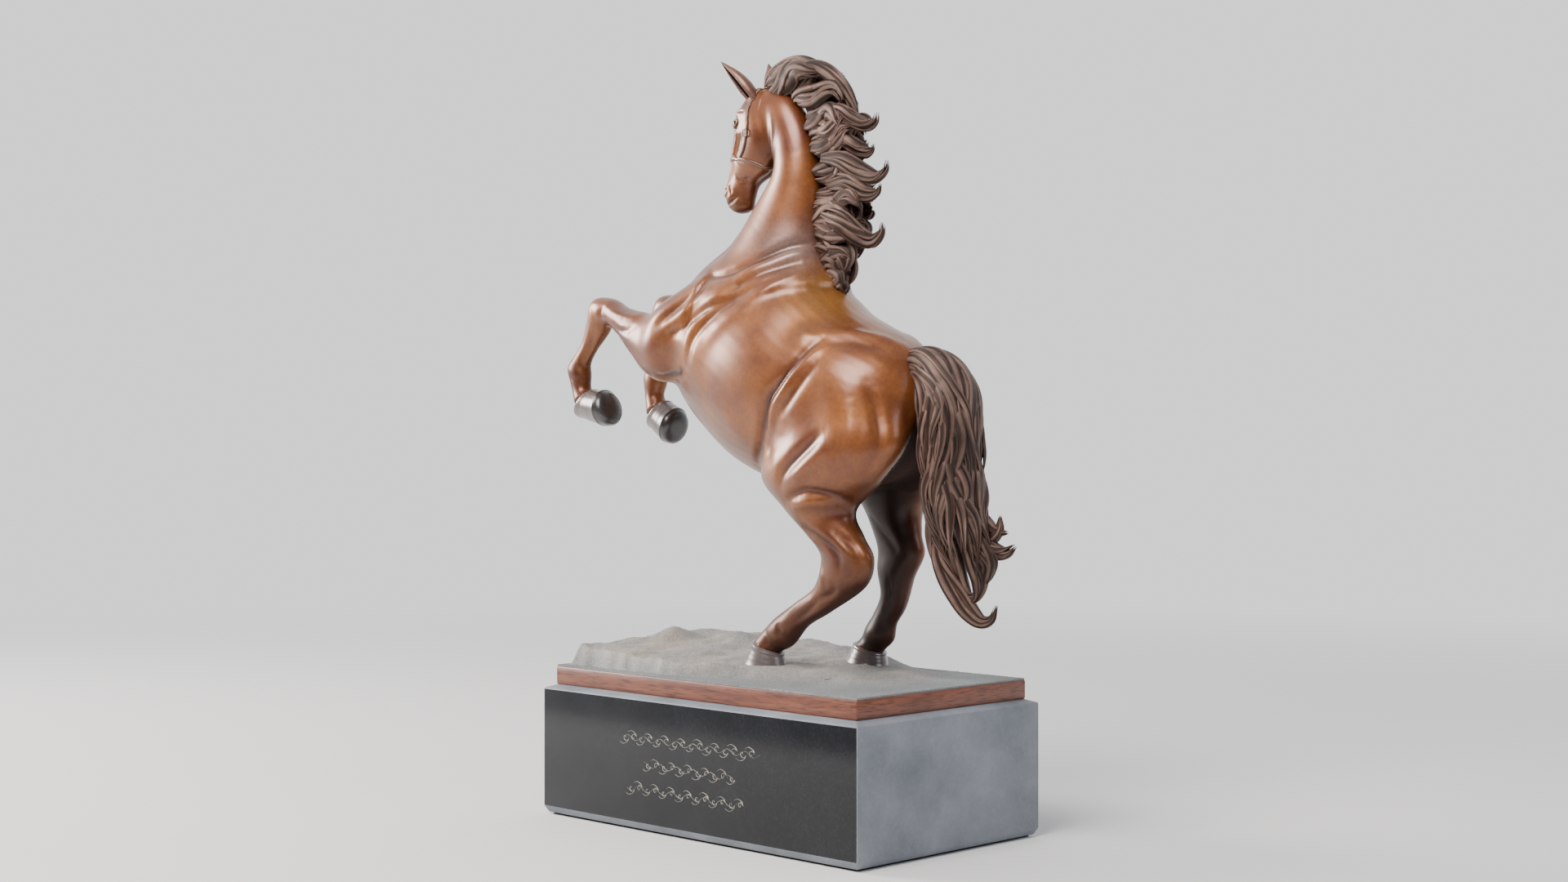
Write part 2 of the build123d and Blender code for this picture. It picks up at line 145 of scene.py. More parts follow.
floor_height = -0.2  # just under the felt
disc_around = 96
disc_turn = np.linspace(0, 2 * np.pi, disc_around, endpoint=False)
disc_radius = np.array([50.0, 300.0, 800.0, 1500.0, 2400.0])
disc_ring = np.arange(disc_around)
disc = np.empty((len(disc_radius), disc_around, 3))
disc[..., 0] = np.outer(disc_radius, np.cos(disc_turn))
disc[..., 1] = np.outer(disc_radius, np.sin(disc_turn))
disc[..., 2] = floor_height
disc = np.vstack([disc.reshape(-1, 3), [[0, 0, floor_height]]])
disc_lid = np.stack([np.full(disc_around, len(disc) - 1), disc_ring, np.roll(disc_ring, -1)], -1)
disc_quads = tube_faces(len(disc_radius), disc_around)[:, ::-1]
sweep = build("floor_disc", disc, disc_quads, disc_lid, creases=80)
sweep_paper, tree, shader = new_material("matt_grey_background_paper")
shader.inputs["Base Color"].default_value = paint("#dedede")
shader.inputs["Roughness"].default_value = 0.95
shader.inputs["Specular IOR Level"].default_value = 0.1
where = add(tree, "ShaderNodeTexCoord")
from_middle = add(tree, "ShaderNodeVectorMath", {}, {0: (where, "Object")}, operation="LENGTH")
still_there = add(tree, "ShaderNodeMapRange", {"From Min": 0.5, "From Max": 2.2, "To Min": 1.0,
                                               "To Max": 0.0},
                  {"Value": (from_middle, "Value")}, interpolation_type="SMOOTHSTEP")
tree.links.new(still_there.outputs["Result"], shader.inputs["Alpha"])
sweep.data.materials.append(sweep_paper)
sweep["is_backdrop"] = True

world = bpy.data.worlds.new("studio_air")
bpy.context.scene.world = world
world.use_nodes = True
air = world.node_tree
look = add(air, "ShaderNodeTexCoord")
towards_wall = add(air, "ShaderNodeVectorMath", {1: (-0.707, 0.707, 0.0)}, {0: (look, "Generated")},
                   operation="DOT_PRODUCT")
room = add(air, "ShaderNodeMapRange", {"From Min": -0.5, "From Max": 0.75, "To Min": 0.22, "To Max": 1.72},
           {"Value": (towards_wall, "Value")}, interpolation_type="SMOOTHSTEP")
air.nodes["Background"].inputs["Color"].default_value = paint("#dedfe0")
air.links.new(room.outputs["Result"], air.nodes["Background"].inputs["Strength"])


def soft_box(name, place, aim, size, watts, colour):
    """A round area light that looks at a point; its local -Z axis is turned onto the aim."""
    lamp = bpy.data.lights.new(name, "AREA")
    lamp.shape = "DISK"
    lamp.size = size
    lamp.energy = watts
    lamp.color = paint(colour)[:3]
    made = bpy.data.objects.new(name, lamp)
    bpy.context.scene.collection.objects.link(made)
    made.location = place
    made.rotation_euler = (Vector(aim) - Vector(place)).to_track_quat("-Z", "Y").to_euler()
    return made


soft_box("chest_side_box", (-1.9, -0.8, 0.9), (0, 0, 0.33), 0.9, 62, "#fffaf4")
soft_box("left_high_box", (0.3, -1.5, 1.8), (0, 0, 0.33), 1.3, 72, "#fffaf4")
soft_box("tail_side_box", (1.9, 0.3, 1.1), (0, 0, 0.25), 1.0, 9, "#eef3ff")

camera_data = bpy.data.cameras.new("camera")
camera_data.lens = 50
camera_data.sensor_width = 36
camera = bpy.data.objects.new("camera", camera_data)
bpy.context.scene.collection.objects.link(camera)
camera.location = (1.0621, -1.0621, 0.2645)
camera.rotation_euler = (np.pi / 2, 0, np.pi / 4)
bpy.context.scene.camera = camera

# ------------------------------------------------------------------ felt pad
# Black pressed wool felt glued under the block, cut 5 mm short of its sides.
# It stays as the CAD has it; only its rim shows from very low down.

felt, tree, shader = new_material("black_pressed_wool_felt")
coords = add(tree, "ShaderNodeTexCoord")
fuzz = add(tree, "ShaderNodeTexNoise", {"Scale": 900, "Detail": 4}, {"Vector": (coords, "Object")})
felt_tone = ramp(tree, fuzz, "Fac", [(0.3, "#101012"), (0.7, "#2a2a2e")])
tree.links.new(felt_tone.outputs[0], shader.inputs["Base Color"])
shader.inputs["Roughness"].default_value = 0.95
fuzz_relief = add(tree, "ShaderNodeBump", {"Strength": 0.5, "Distance": 0.0003}, {"Height": (fuzz, "Fac")})
tree.links.new(fuzz_relief.outputs[0], shader.inputs["Normal"])
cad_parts["felt_pad"].material_slots[0].material = felt

# ------------------------------------------------------------------ hidden fasteners
# Zinc-plated bolts, washers, screws, studs and nuts under the board, and turned brass
# inserts in it. They keep their CAD shapes and get the finish of bought fasteners.

zinc, tree, shader = new_material("bright_zinc_plated_steel")
coords = add(tree, "ShaderNodeTexCoord")
bloom = add(tree, "ShaderNodeTexNoise", {"Scale": 260, "Detail": 3}, {"Vector": (coords, "Object")})
zinc_tone = ramp(tree, bloom, "Fac", [(0.3, "#9c9fa3"), (0.7, "#c7c9cc")])
tree.links.new(zinc_tone.outputs[0], shader.inputs["Base Color"])
shader.inputs["Metallic"].default_value = 1.0
shader.inputs["Roughness"].default_value = 0.38
for node_name in ("block_bolts", "block_washers", "ground_screws", "hoof_studs", "stud_washers", "stud_nuts"):
    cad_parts[node_name].material_slots[0].material = zinc

insert_brass, tree, shader = new_material("turned_brass")
coords = add(tree, "ShaderNodeTexCoord")
turning = add(tree, "ShaderNodeTexNoise", {"Scale": 500, "Detail": 2}, {"Vector": (coords, "Object")})
brass_tone = ramp(tree, turning, "Fac", [(0.3, "#a88338"), (0.7, "#cba452")])
tree.links.new(brass_tone.outputs[0], shader.inputs["Base Color"])
shader.inputs["Metallic"].default_value = 1.0
shader.inputs["Roughness"].default_value = 0.3
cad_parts["board_inserts"].material_slots[0].material = insert_brass

# ------------------------------------------------------------------ granite block
# One sawn block of black granite. The long faces are polished to a mirror, the ends and the
# bevel are only honed, which leaves them blue-grey. The arrises are rubbed down by hand.


def rounded_box(levels, half_x, half_y, corner, per_corner=8):
    """Rings of a rounded rectangle stacked at levels of (height, inset), as an array of (ring, point, xyz).
    Each ring is the rectangle drawn in by its inset, and its corners are quarter circles."""
    angle = np.linspace(0, np.pi / 2, per_corner)
    rings = []
    for height, inset in levels:
        hx, hy = half_x - inset - corner, half_y - inset - corner
        arcs = []
        for quarter, (sx, sy) in enumerate(((1, 1), (-1, 1), (-1, -1), (1, -1))):
            turned = angle + quarter * np.pi / 2
            arcs.append(np.stack([sx * hx + corner * np.cos(turned), sy * hy + corner * np.sin(turned)], -1))
        outline = np.concatenate(arcs)
        rings.append(np.column_stack([outline, np.full(len(outline), height)]))
    return np.array(rings)


def end_fans(count, around):
    """Triangles from the first and the last ring of a tube to two points that follow the tube's own."""
    first, last = np.arange(around), np.arange(around) + (count - 1) * around
    under = np.stack([np.full(around, count * around), np.roll(first, -1), first], -1)
    over = np.stack([np.full(around, count * around + 1), last, np.roll(last, -1)], -1)
    return np.vstack([under, over])


def with_ends(rings):
    """The points of stacked rings, then the middle points of the first and the last ring."""
    return np.vstack([rings.reshape(-1, 3), rings[0].mean(0), rings[-1].mean(0)])


def close_ends(name, rings, floats=None, creases=30, slots=()):
    """A mesh from stacked rings, closed at both ends with a fan to the middle point."""
    count, around = rings.shape[:2]
    fans = end_fans(count, around)
    return build(name, with_ends(rings), tube_faces(count, around), fans, None, floats, creases, slots)


def facing(piece, axis):
    """How squarely each face of a piece looks along an axis, from 0 to 1, either way."""
    normals = np.empty(len(piece.data.polygons) * 3, np.float32)
    piece.data.polygons.foreach_get("normal", normals)
    return np.abs(normals.reshape(-1, 3)[:, axis])


granite_levels = [(1.5, 2.6), (1.8, 2.2), (5.6, 0.25), (6.2, 0.0), (88.7, 0.0), (89.3, 0.15), (89.8, 0.7)]
granite_levels += [(91.6, 5.9), (92.0, 6.6)]
block_half_length = 152.4
block_half_width = 88.9
granite_rings = rounded_box(granite_levels, block_half_length, block_half_width, 1.0)


def granite(name, dark, light, rough, speck):
    """Black granite: noise clouds tens of mm wide, and feldspar and mica flecks 0.5 to 1.5 mm wide."""
    material, tree, shader = new_material(name)
    coords = add(tree, "ShaderNodeTexCoord")
    clouds = add(tree, "ShaderNodeTexNoise", {"Scale": 22, "Detail": 5, "Roughness": 0.6},
                 {"Vector": (coords, "Object")})
    grains = add(tree, "ShaderNodeTexVoronoi", {"Scale": 620, "Randomness": 1.0},
                 {"Vector": (coords, "Object")})
    fine = add(tree, "ShaderNodeTexNoise", {"Scale": 420, "Detail": 4, "Roughness": 0.7},
               {"Vector": (coords, "Object")})
    base = ramp(tree, clouds, "Fac", [(0.3, dark), (0.72, light)])
    flecks = ramp(tree, grains, "Color", [(0.0, "#000000"), (0.55, "#000000"), (0.85, speck), (1.0, speck)])
    mottle = ramp(tree, fine, "Fac", [(0.42, "#000000"), (0.75, speck)])
    both = add(tree, "ShaderNodeMix", {"Factor": 0.55}, {6: (flecks, 0), 7: (mottle, 0)}, data_type="RGBA")
    colour = add(tree, "ShaderNodeMix", {"Factor": 1.0}, {6: (base, 0), 7: (both, 2)}, data_type="RGBA",
                 blend_type="ADD")
    tree.links.new(colour.outputs[2], shader.inputs["Base Color"])
    shine = add(tree, "ShaderNodeMapRange", {"To Min": rough * 0.8, "To Max": rough * 1.3},
                {"Value": (clouds, "Fac")})
    tree.links.new(shine.outputs[0], shader.inputs["Roughness"])
    shader.inputs["IOR"].default_value = 1.55
    shader.inputs["Specular IOR Level"].default_value = 0.32
    pits = add(tree, "ShaderNodeBump", {"Strength": 0.12, "Distance": 0.0001}, {"Height": (fine, "Fac")})
    tree.links.new(pits.outputs[0], shader.inputs["Normal"])
    return material


polished_granite = granite("polished_black_granite", "#121316", "#1c1d21", 0.16, "#141518")
honed_granite = granite("honed_black_granite", "#626770", "#858a92", 0.5, "#2c3036")
block = close_ends("granite_block_cut", granite_rings, creases=50, slots=(polished_granite, honed_granite))
block.data.polygons.foreach_set("material_index", (facing(block, 1) < 0.98).astype(np.int32))
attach(block, "root")
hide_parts("granite_block")

# ------------------------------------------------------------------ engraved scrollwork
# Three rows of plain scrolls stand for lines cut in the polished long face and rubbed with pale
# paint. The lines lie 0.02 to 0.025 mm proud of the stone, and swell and taper as cut strokes do.


def through(knots, count):
    """Points evenly spaced along a Catmull-Rom curve through the rows of an array, by chord length."""
    knots = np.asarray(knots, float)
    padded = np.vstack([2 * knots[0] - knots[1], knots, 2 * knots[-1] - knots[-2]])
    chord = np.linalg.norm(np.diff(knots[:, :3], axis=0), axis=1) + 1e-9
    reach = np.concatenate([[0], np.cumsum(chord)])
    where = np.linspace(0, reach[-1], count)
    span = np.clip(np.searchsorted(reach, where, side="right") - 1, 0, len(knots) - 2)
    t = ((where - reach[span]) / chord[span])[:, None]
    a, b, c, d = (padded[span + i] for i in range(4))
    return 0.5 * (2 * b + (c - a) * t + (2 * a - 5 * b + 4 * c - d) * t**2 + (3 * b - a - 3 * c + d) * t**3)


stroke_points = 90
stroke_corners = 4


def stroke(points, pen, lift):
    """A ribbon on the long face along (x, z) points. Its half width is pen times 0.35 + 0.65 sin^2 of the
    stroke's direction, as a slanted nib gives, times sin(pi t)^0.4 for the ends."""
    points = through(np.column_stack([points, np.zeros(len(points))]), stroke_points)[:, :2]
    run = np.gradient(points, axis=0)
    run /= np.linalg.norm(run, axis=1, keepdims=True) + 1e-9
    nib = pen * (0.35 + 0.65 * np.sin(np.arctan2(run[:, 1], run[:, 0]) - 0.5) ** 2)
    nib = nib * np.sin(np.pi * np.linspace(0.02, 0.98, stroke_points)) ** 0.4
    sideways = np.stack([-run[:, 1], run[:, 0]], -1) * nib[:, None]
    edges = np.stack([points - sideways, points + sideways], 1)
    front = np.concatenate([edges, np.full((stroke_points, 2, 1), -block_half_width - lift)], -1)
    back = np.concatenate([edges[:, ::-1], np.full((stroke_points, 2, 1), 0.05 - block_half_width)], -1)
    return np.concatenate([front, back], 1)[:, :, [0, 2, 1]]


def scroll(start, size, hand, turns=1.35):
    """A C-scroll: a spiral whose radius shrinks as exp(-0.32 angle), entered by a slack tail."""
    angle = np.linspace(0, 2 * np.pi * turns, 22)
    radius = 0.5 * size * np.exp(-0.32 * angle)
    spiral = np.column_stack([radius * np.cos(angle), hand * radius * np.sin(angle)])
    tail = np.array([[-0.75, 0.45 * hand], [-0.3, 0.62 * hand], [0.25, 0.42 * hand]]) * size
    return np.vstack([tail, spiral]) + start


scroll_pitch = 8.2
scroll_rows = ((0.0, 68.0, 63.0), (0.0, 45.0, 46.0), (-5.0, 57.0, 29.0))  # middle x, half length, height
ribbons = []
rng = np.random.default_rng(5)
for middle, reach, base in scroll_rows:
    for number, x in enumerate(np.arange(middle - reach + 4, middle + reach - 3, scroll_pitch)):
        hand = 1 if number % 2 else -1
        size = 7.2 * rng.uniform(0.85, 1.1)
        ribbons.append(stroke(scroll(np.array([x, base]), size, hand), 0.24, 0.02))
    along_row = np.linspace(middle - reach, middle + reach, 40)
    vine = np.column_stack([along_row, base + 1.8 * np.sin((along_row - middle) * np.pi / scroll_pitch)])
    ribbons.append(stroke(vine, 0.15, 0.025))
ribbons = np.array(ribbons)
ribbon_size = stroke_points * stroke_corners
ribbon_start = (np.arange(len(ribbons)) * ribbon_size)[:, None, None]
ribbon_sides = tube_faces(stroke_points, stroke_corners) + ribbon_start
ribbon_ends = np.array([[0, 3, 2, 1], ribbon_size - 4 + np.arange(4)]) + ribbon_start
ribbon_quads = np.concatenate([ribbon_sides.reshape(-1, 4), ribbon_ends.reshape(-1, 4)])
line_paint, tree, shader = new_material("cream_engraving_paint")
coords = add(tree, "ShaderNodeTexCoord")
wear = add(tree, "ShaderNodeTexNoise", {"Scale": 260, "Detail": 3}, {"Vector": (coords, "Object")})
cream = ramp(tree, wear, "Fac", [(0.35, "#77756e"), (0.6, "#bdb9ad")])
tree.links.new(cream.outputs[0], shader.inputs["Base Color"])
shader.inputs["Roughness"].default_value = 0.6
scrollwork = build("engraved_scrollwork", ribbons.reshape(-1, 3), ribbon_quads, creases=30,
                   slots=(line_paint,))
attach(scrollwork, "root")

# ------------------------------------------------------------------ wooden board
# A half-inch mahogany board with its grain along each edge, satin varnished, its edges
# eased with a scraper. Its top is hidden under the bronze ground.

board_levels = [(92.0, 0.9), (92.3, 0.35), (93.0, 0.0), (103.9, 0.0), (104.5, 0.3), (104.7, 0.9)]
board_inset = 6.35
board_rings = rounded_box(board_levels, block_half_length - board_inset, block_half_width - board_inset, 0.9)


def mahogany(name, along):
    """Varnished mahogany: dark pores, drawn coarser than real ones, over bands of red and brown
    heartwood that both run along the given axis."""
    material, tree, shader = new_material(name)
    coords = add(tree, "ShaderNodeTexCoord")
    stretch = [1.0, 1.0, 1.0]
    stretch[along] = 0.07
    laid = add(tree, "ShaderNodeMapping", {"Scale": stretch}, {"Vector": (coords, "Object")})
    bands = add(tree, "ShaderNodeTexNoise", {"Scale": 150, "Detail": 4, "Distortion": 0.6},
                {"Vector": (laid, 0)})
    pores = add(tree, "ShaderNodeTexNoise", {"Scale": 1300, "Detail": 3}, {"Vector": (laid, 0)})
    wood_stops = [(0.28, "#57291a"), (0.45, "#713a25"), (0.58, "#7f4730"), (0.75, "#643020")]
    wood = ramp(tree, bands, "Fac", wood_stops)
    dark = ramp(tree, pores, "Fac", [(0.36, "#84685c"), (0.5, "#ffffff")])
    colour = add(tree, "ShaderNodeMix", {"Factor": 0.75}, {6: (wood, 0), 7: (dark, 0)}, data_type="RGBA",
                 blend_type="MULTIPLY")
    tree.links.new(colour.outputs[2], shader.inputs["Base Color"])
    shader.inputs["Roughness"].default_value = 0.42
    shader.inputs["Coat Weight"].default_value = 0.25
    shader.inputs["Coat Roughness"].default_value = 0.3
    relief = add(tree, "ShaderNodeBump", {"Strength": 0.25, "Distance": 0.0003}, {"Height": (pores, "Fac")})
    tree.links.new(relief.outputs[0], shader.inputs["Normal"])
    return material


board_woods = (mahogany("mahogany_long_edge", 0), mahogany("mahogany_end_edge", 1))
board = close_ends("mahogany_board", board_rings, slots=board_woods)
board.data.polygons.foreach_set("material_index", (facing(board, 0) > 0.7).astype(np.int32))
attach(board, "root")
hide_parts("wood_board")

# ------------------------------------------------------------------ bronze ground
# The ground is one sand-textured bronze casting, screwed to the board from below: a thin flange,
# and on it a mound with a steep broken edge in front, low rocks, and a slope under the tail.


def waves(x, y, size, rng, terms=14):
    """Smooth random relief about 1 high: a sum of sine waves of about one length in random directions."""
    heading = rng.uniform(0, 2 * np.pi, terms)
    phase = rng.uniform(0, 2 * np.pi, terms)
    pitch = 2 * np.pi / (size * rng.uniform(0.7, 1.5, terms))
    total = np.zeros_like(x)
    for h, p, k in zip(heading, phase, pitch):
        total += np.sin(k * (np.cos(h) * x + np.sin(h) * y) + p)
    return total / np.sqrt(terms)


def smooth_step(value):
    """0 below 0, 1 above 1, and the cubic 3v2 - 2v3 between."""
    v = np.clip(value, 0, 1)
    return v * v * (3 - 2 * v)


def outside(x, y, corners):
    """Signed distance to a polygon: negative inside, found from the nearest of its sides."""
    nearest = np.full(x.shape, 1e9)
    inside = np.zeros(x.shape, bool)
    for (ax, ay), (bx, by) in zip(corners, corners[1:] + corners[:1]):
        along = np.clip(((x - ax) * (bx - ax) + (y - ay) * (by - ay)) / ((bx - ax) ** 2 + (by - ay) ** 2),
                        0, 1)
        nearest = np.minimum(nearest, np.hypot(x - ax - along * (bx - ax), y - ay - along * (by - ay)))
        crosses = (ay > y) != (by > y)
        inside ^= crosses & (x < (bx - ax) * (y - ay) / (by - ay + 1e-9) + ax)
    return np.where(inside, -nearest, nearest)


rng = np.random.default_rng(7)
ground_x = np.linspace(-145.4, 145.4, 312)
ground_y = np.linspace(-81.9, 81.9, 184)
gx, gy = np.meshgrid(ground_x, ground_y, indexing="ij")
wander = 1.8 * waves(gx, gy, 42, rng) + 0.5 * waves(gx, gy, 14, rng)
mound_edge = [(-137, -79), (-44, -77), (6, -62), (40, -50), (98, -44)]
mound_edge += [(128, 8), (98, 62), (30, 78), (-98, 79), (-139, 50)]
edge = outside(gx, gy, mound_edge) + wander
steep = 6 + 26 * smooth_step((gx + 20) / 110)
rise = smooth_step(-edge / steep) ** 0.8
slope_plane = 115.5 - 0.05 * gx + 0.03 * gy
lumps = 0.8 * waves(gx, gy, 34, rng) + 0.22 * waves(gx, gy, 12, rng) + 0.1 * waves(gx, gy, 5, rng)


def hump(x, y, reach_x, reach_y):
    """A bell exp(-r^2) on the ground, r being the distance from (x, y) in units of the two reaches."""
    return np.exp(-(((gx - x) / reach_x) ** 2 + ((gy - y) / reach_y) ** 2))


rocks = 8.0 * hump(-116, 2, 14, 17) + 6.0 * hump(-84, 32, 19, 14) - 2.2 * hump(-98, 16, 6, 20)
tail_fall = smooth_step((gx - 40) / 95)
top = slope_plane + lumps * (0.35 + 0.65 * rise) + rocks - 4.5 * tail_fall
calm = hump(12, -28, 20, 17) + hump(50, 28, 20, 17)  # level under the two hind hooves
top = top + (slope_plane - top) * np.clip(calm, 0, 1)
gz = 105.9 + rise * np.clip(top - 105.9, 0, None) + 0.12 * waves(gx, gy, 3, rng)
gz = np.maximum(gz, 105.6)
top_points = np.stack([gx, gy, gz], -1).reshape(-1, 3)
index = np.arange(gx.size).reshape(gx.shape)
ground_quads = np.stack([index[:-1, :-1], index[1:, :-1], index[1:, 1:], index[:-1, 1:]], -1).reshape(-1, 4)
rim = np.concatenate([index[:-1, 0], index[-1, :-1], index[:0:-1, -1], index[0, :0:-1]])
board_top = 104.7
foot = top_points[rim] * [1, 1, 0] + [0, 0, board_top]
foot_index = np.arange(len(rim)) + gx.size
rim_quads = np.stack([rim, foot_index, np.roll(foot_index, -1), np.roll(rim, -1)], -1)
ground_points = np.vstack([top_points, foot, [[0, 0, board_top]]])
under = np.stack([np.full(len(rim), gx.size + len(rim)), np.roll(foot_index, -1), foot_index], -1)
mound_share = np.concatenate([rise.ravel(), np.zeros(len(rim) + 1)])

ground_bronze, tree, shader = new_material("sand_cast_bronze_grey_patina")
coords = add(tree, "ShaderNodeTexCoord")
height_share = add(tree, "ShaderNodeAttribute", attribute_name="mound")
patches = add(tree, "ShaderNodeTexNoise", {"Scale": 20, "Detail": 5, "Roughness": 0.5},
              {"Vector": (coords, "Object")})
sand = add(tree, "ShaderNodeTexNoise", {"Scale": 700, "Detail": 5, "Roughness": 0.7},
           {"Vector": (coords, "Object")})
warm = ramp(tree, patches, "Fac", [(0.34, "#8b8a88"), (0.5, "#9b9894"), (0.66, "#aa9e94")])
cool = ramp(tree, patches, "Fac", [(0.3, "#75797b"), (0.7, "#8d8f90")])
tone = add(tree, "ShaderNodeMix", links={0: (height_share, "Fac"), 6: (cool, 0), 7: (warm, 0)},
           data_type="RGBA")
grit = ramp(tree, sand, "Fac", [(0.35, "#a2a2a2"), (0.62, "#ffffff")])
colour = add(tree, "ShaderNodeMix", {"Factor": 0.6}, {6: (tone, 2), 7: (grit, 0)}, data_type="RGBA",
             blend_type="MULTIPLY")
tree.links.new(colour.outputs[2], shader.inputs["Base Color"])
shader.inputs["Metallic"].default_value = 0.1
shader.inputs["Roughness"].default_value = 0.66
relief = add(tree, "ShaderNodeBump", {"Strength": 0.55, "Distance": 0.0006}, {"Height": (sand, "Fac")})
tree.links.new(relief.outputs[0], shader.inputs["Normal"])

ground = build(
    "ground_relief",
    ground_points,
    np.vstack([ground_quads, rim_quads]),
    under,
    floats={"mound": mound_share},
    creases=60,
    slots=(ground_bronze,),
)
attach(ground, "root")
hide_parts("ground_casting")

# ------------------------------------------------------------------ horse skin
# Lost-wax bronze castings: barrel, hindquarters, neck and legs, welded edge to edge, chased until
# the welds vanish, then patinated hot to a brown and waxed. The limbs branch, so each is a surface
# of two parameters, and the level sets of them all are blended into one skin.


def limb(sections, rings=90, around=48):
    """A closed tube. Each section gives the front and rear outline points (x, z), half width and y. The rings
    are ellipses from rear to front point, and the sections between are read off Catmull-Rom curves."""
    table = np.array([[f[0], f[1], r[0], r[1], w, y] for f, r, w, y in sections], float)
    centres = (table[:, 0:2] + table[:, 2:4]) / 2
    smooth = through(np.column_stack([centres, table[:, 5], table]), rings)[:, 3:]
    front, rear, width, side = smooth[:, 0:2], smooth[:, 2:4], smooth[:, 4], smooth[:, 5]
    turn = np.linspace(0, 2 * np.pi, around, endpoint=False)
    middle, half = (front + rear) / 2, (front - rear) / 2
    x = middle[:, :1] + half[:, :1] * np.cos(turn)
    z = middle[:, 1:] + half[:, 1:] * np.cos(turn)
    y = side[:, None] + width[:, None] * np.sin(turn)
    return np.stack([x, y, z], -1)


def swelling(centre, radii, lean=0.0, yaw=0.0):
    """A closed ellipsoid for a muscle or bone, leaning in the x-z plane and turned about z, in degrees."""
    u = np.linspace(0.04, np.pi - 0.04, 24)
    v = np.linspace(0, 2 * np.pi, 32, endpoint=False)
    ball = np.stack([np.outer(np.sin(u), np.cos(v)), np.outer(np.sin(u), np.sin(v)),
                     np.outer(np.cos(u), np.ones(32))], -1)
    a, b = np.radians(lean), np.radians(yaw)
    tip = np.array([[np.cos(a), 0, np.sin(a)], [0, 1, 0], [-np.sin(a), 0, np.cos(a)]])
    spin = np.array([[np.cos(b), -np.sin(b), 0], [np.sin(b), np.cos(b), 0], [0, 0, 1]])
    return (ball * np.array(radii)) @ tip.T @ spin.T + np.array(centre)


def level_set(rings, voxel, band=10):
    """The signed distance to a closed tube, in mm, in a box of the voxel grid: (lowest index, values)."""
    count, around = rings.shape[:2]
    grid = openvdb.FloatGrid.createLevelSetFromPolygons(
        with_ends(rings).astype(np.float32),
        triangles=end_fans(count, around).astype(np.uint32),
        quads=tube_faces(count, around).astype(np.uint32),
        transform=openvdb.createLinearTransform(voxelSize=voxel),
        halfWidth=band,
    )
    low, high = (np.array(corner) for corner in grid.evalActiveVoxelBoundingBox())
    low, high = low - 2, high + 3
    values = np.empty(tuple(high - low), np.float32)
    grid.copyToArray(values, ijk=tuple(int(i) for i in low))
    return low, values


def blend(parts, voxel, band=10):
    """One field from many. Each part is (tube, radius, sign). The polynomial smooth minimum
    min(a, b) - k h^2 / 4, with h = max(k - |a - b|, 0) / k, rounds each join by its radius k;
    sign -1 cuts the part away with the same rounding."""
    fields = [level_set(rings, voxel, band) for rings, _, _ in parts]
    low = np.min([f[0] for f in fields], 0) - 2
    high = np.max([f[0] + f[1].shape for f in fields], 0) + 2
    total = np.full(tuple(high - low), band * voxel, np.float32)
    for (start, values), (_, radius, sign) in zip(fields, parts):
        a, b = start - low, start - low + values.shape
        room = (slice(a[0], b[0]), slice(a[1], b[1]), slice(a[2], b[2]))
        old = sign * total[room]
        step = np.maximum(radius - np.abs(old - values), 0) / radius
        total[room] = sign * (np.minimum(old, values) - step * step * radius / 4)
    return low, total


def skin_of(field, voxel):
    """The zero surface of a field as points in mm and quads that face outwards."""
    low, values = field
    grid = openvdb.FloatGrid(float(values.max()))
    grid.copyFromArray(values, ijk=tuple(int(i) for i in low), tolerance=0.0)
    grid.transform = openvdb.createLinearTransform(voxelSize=voxel)
    points, quads = grid.convertToQuads(0.0)
    return points.astype(float), quads.astype(np.int64)


def links_of(quads):
    """Each edge of the quads once, as two arrays of ends."""
    ends = np.concatenate([quads[:, [0, 1]], quads[:, [1, 2]], quads[:, [2, 3]], quads[:, [3, 0]]])
    ends = np.unique(np.sort(ends, 1), axis=0)
    return ends[:, 0], ends[:, 1]


def neighbour_mean(values, ends, count):
    """The mean of each point's neighbours along the edges."""
    a, b = ends
    degree = np.bincount(a, minlength=count) + np.bincount(b, minlength=count)
    columns = []
    for column in values.T:
        total = np.bincount(a, column[b], count) + np.bincount(b, column[a], count)
        columns.append(total / np.maximum(degree, 1))
    return np.stack(columns, -1)


def relax(points, ends, rounds):
    """Taubin smoothing: a step of 0.5 towards the neighbours' mean, then a step of 0.52 back."""
    for _ in range(rounds):
        points = points + 0.5 * (neighbour_mean(points, ends, len(points)) - points)
        points = points - 0.52 * (neighbour_mean(points, ends, len(points)) - points)
    return points


def normals_of(points, quads):
    """Unit normals at the points: the sum of the crossed diagonals of the quads round each."""
    crossed = np.cross(points[quads[:, 2]] - points[quads[:, 0]], points[quads[:, 3]] - points[quads[:, 1]])
    total = np.stack(
        [np.bincount(quads.ravel(), np.repeat(crossed[:, i], 4), len(points)) for i in range(3)], -1
    )
    return total / (np.linalg.norm(total, axis=1, keepdims=True) + 1e-9)


def hollowness(points, normals, ends, rounds=3):
    """How far each point lies in a hollow: its neighbours' mean offset along its normal, smoothed a
    few times."""
    lift = ((neighbour_mean(points, ends, len(points)) - points) * normals).sum(1)
    for _ in range(rounds):
        lift = neighbour_mean(lift[:, None], ends, len(points))[:, 0]
    return lift


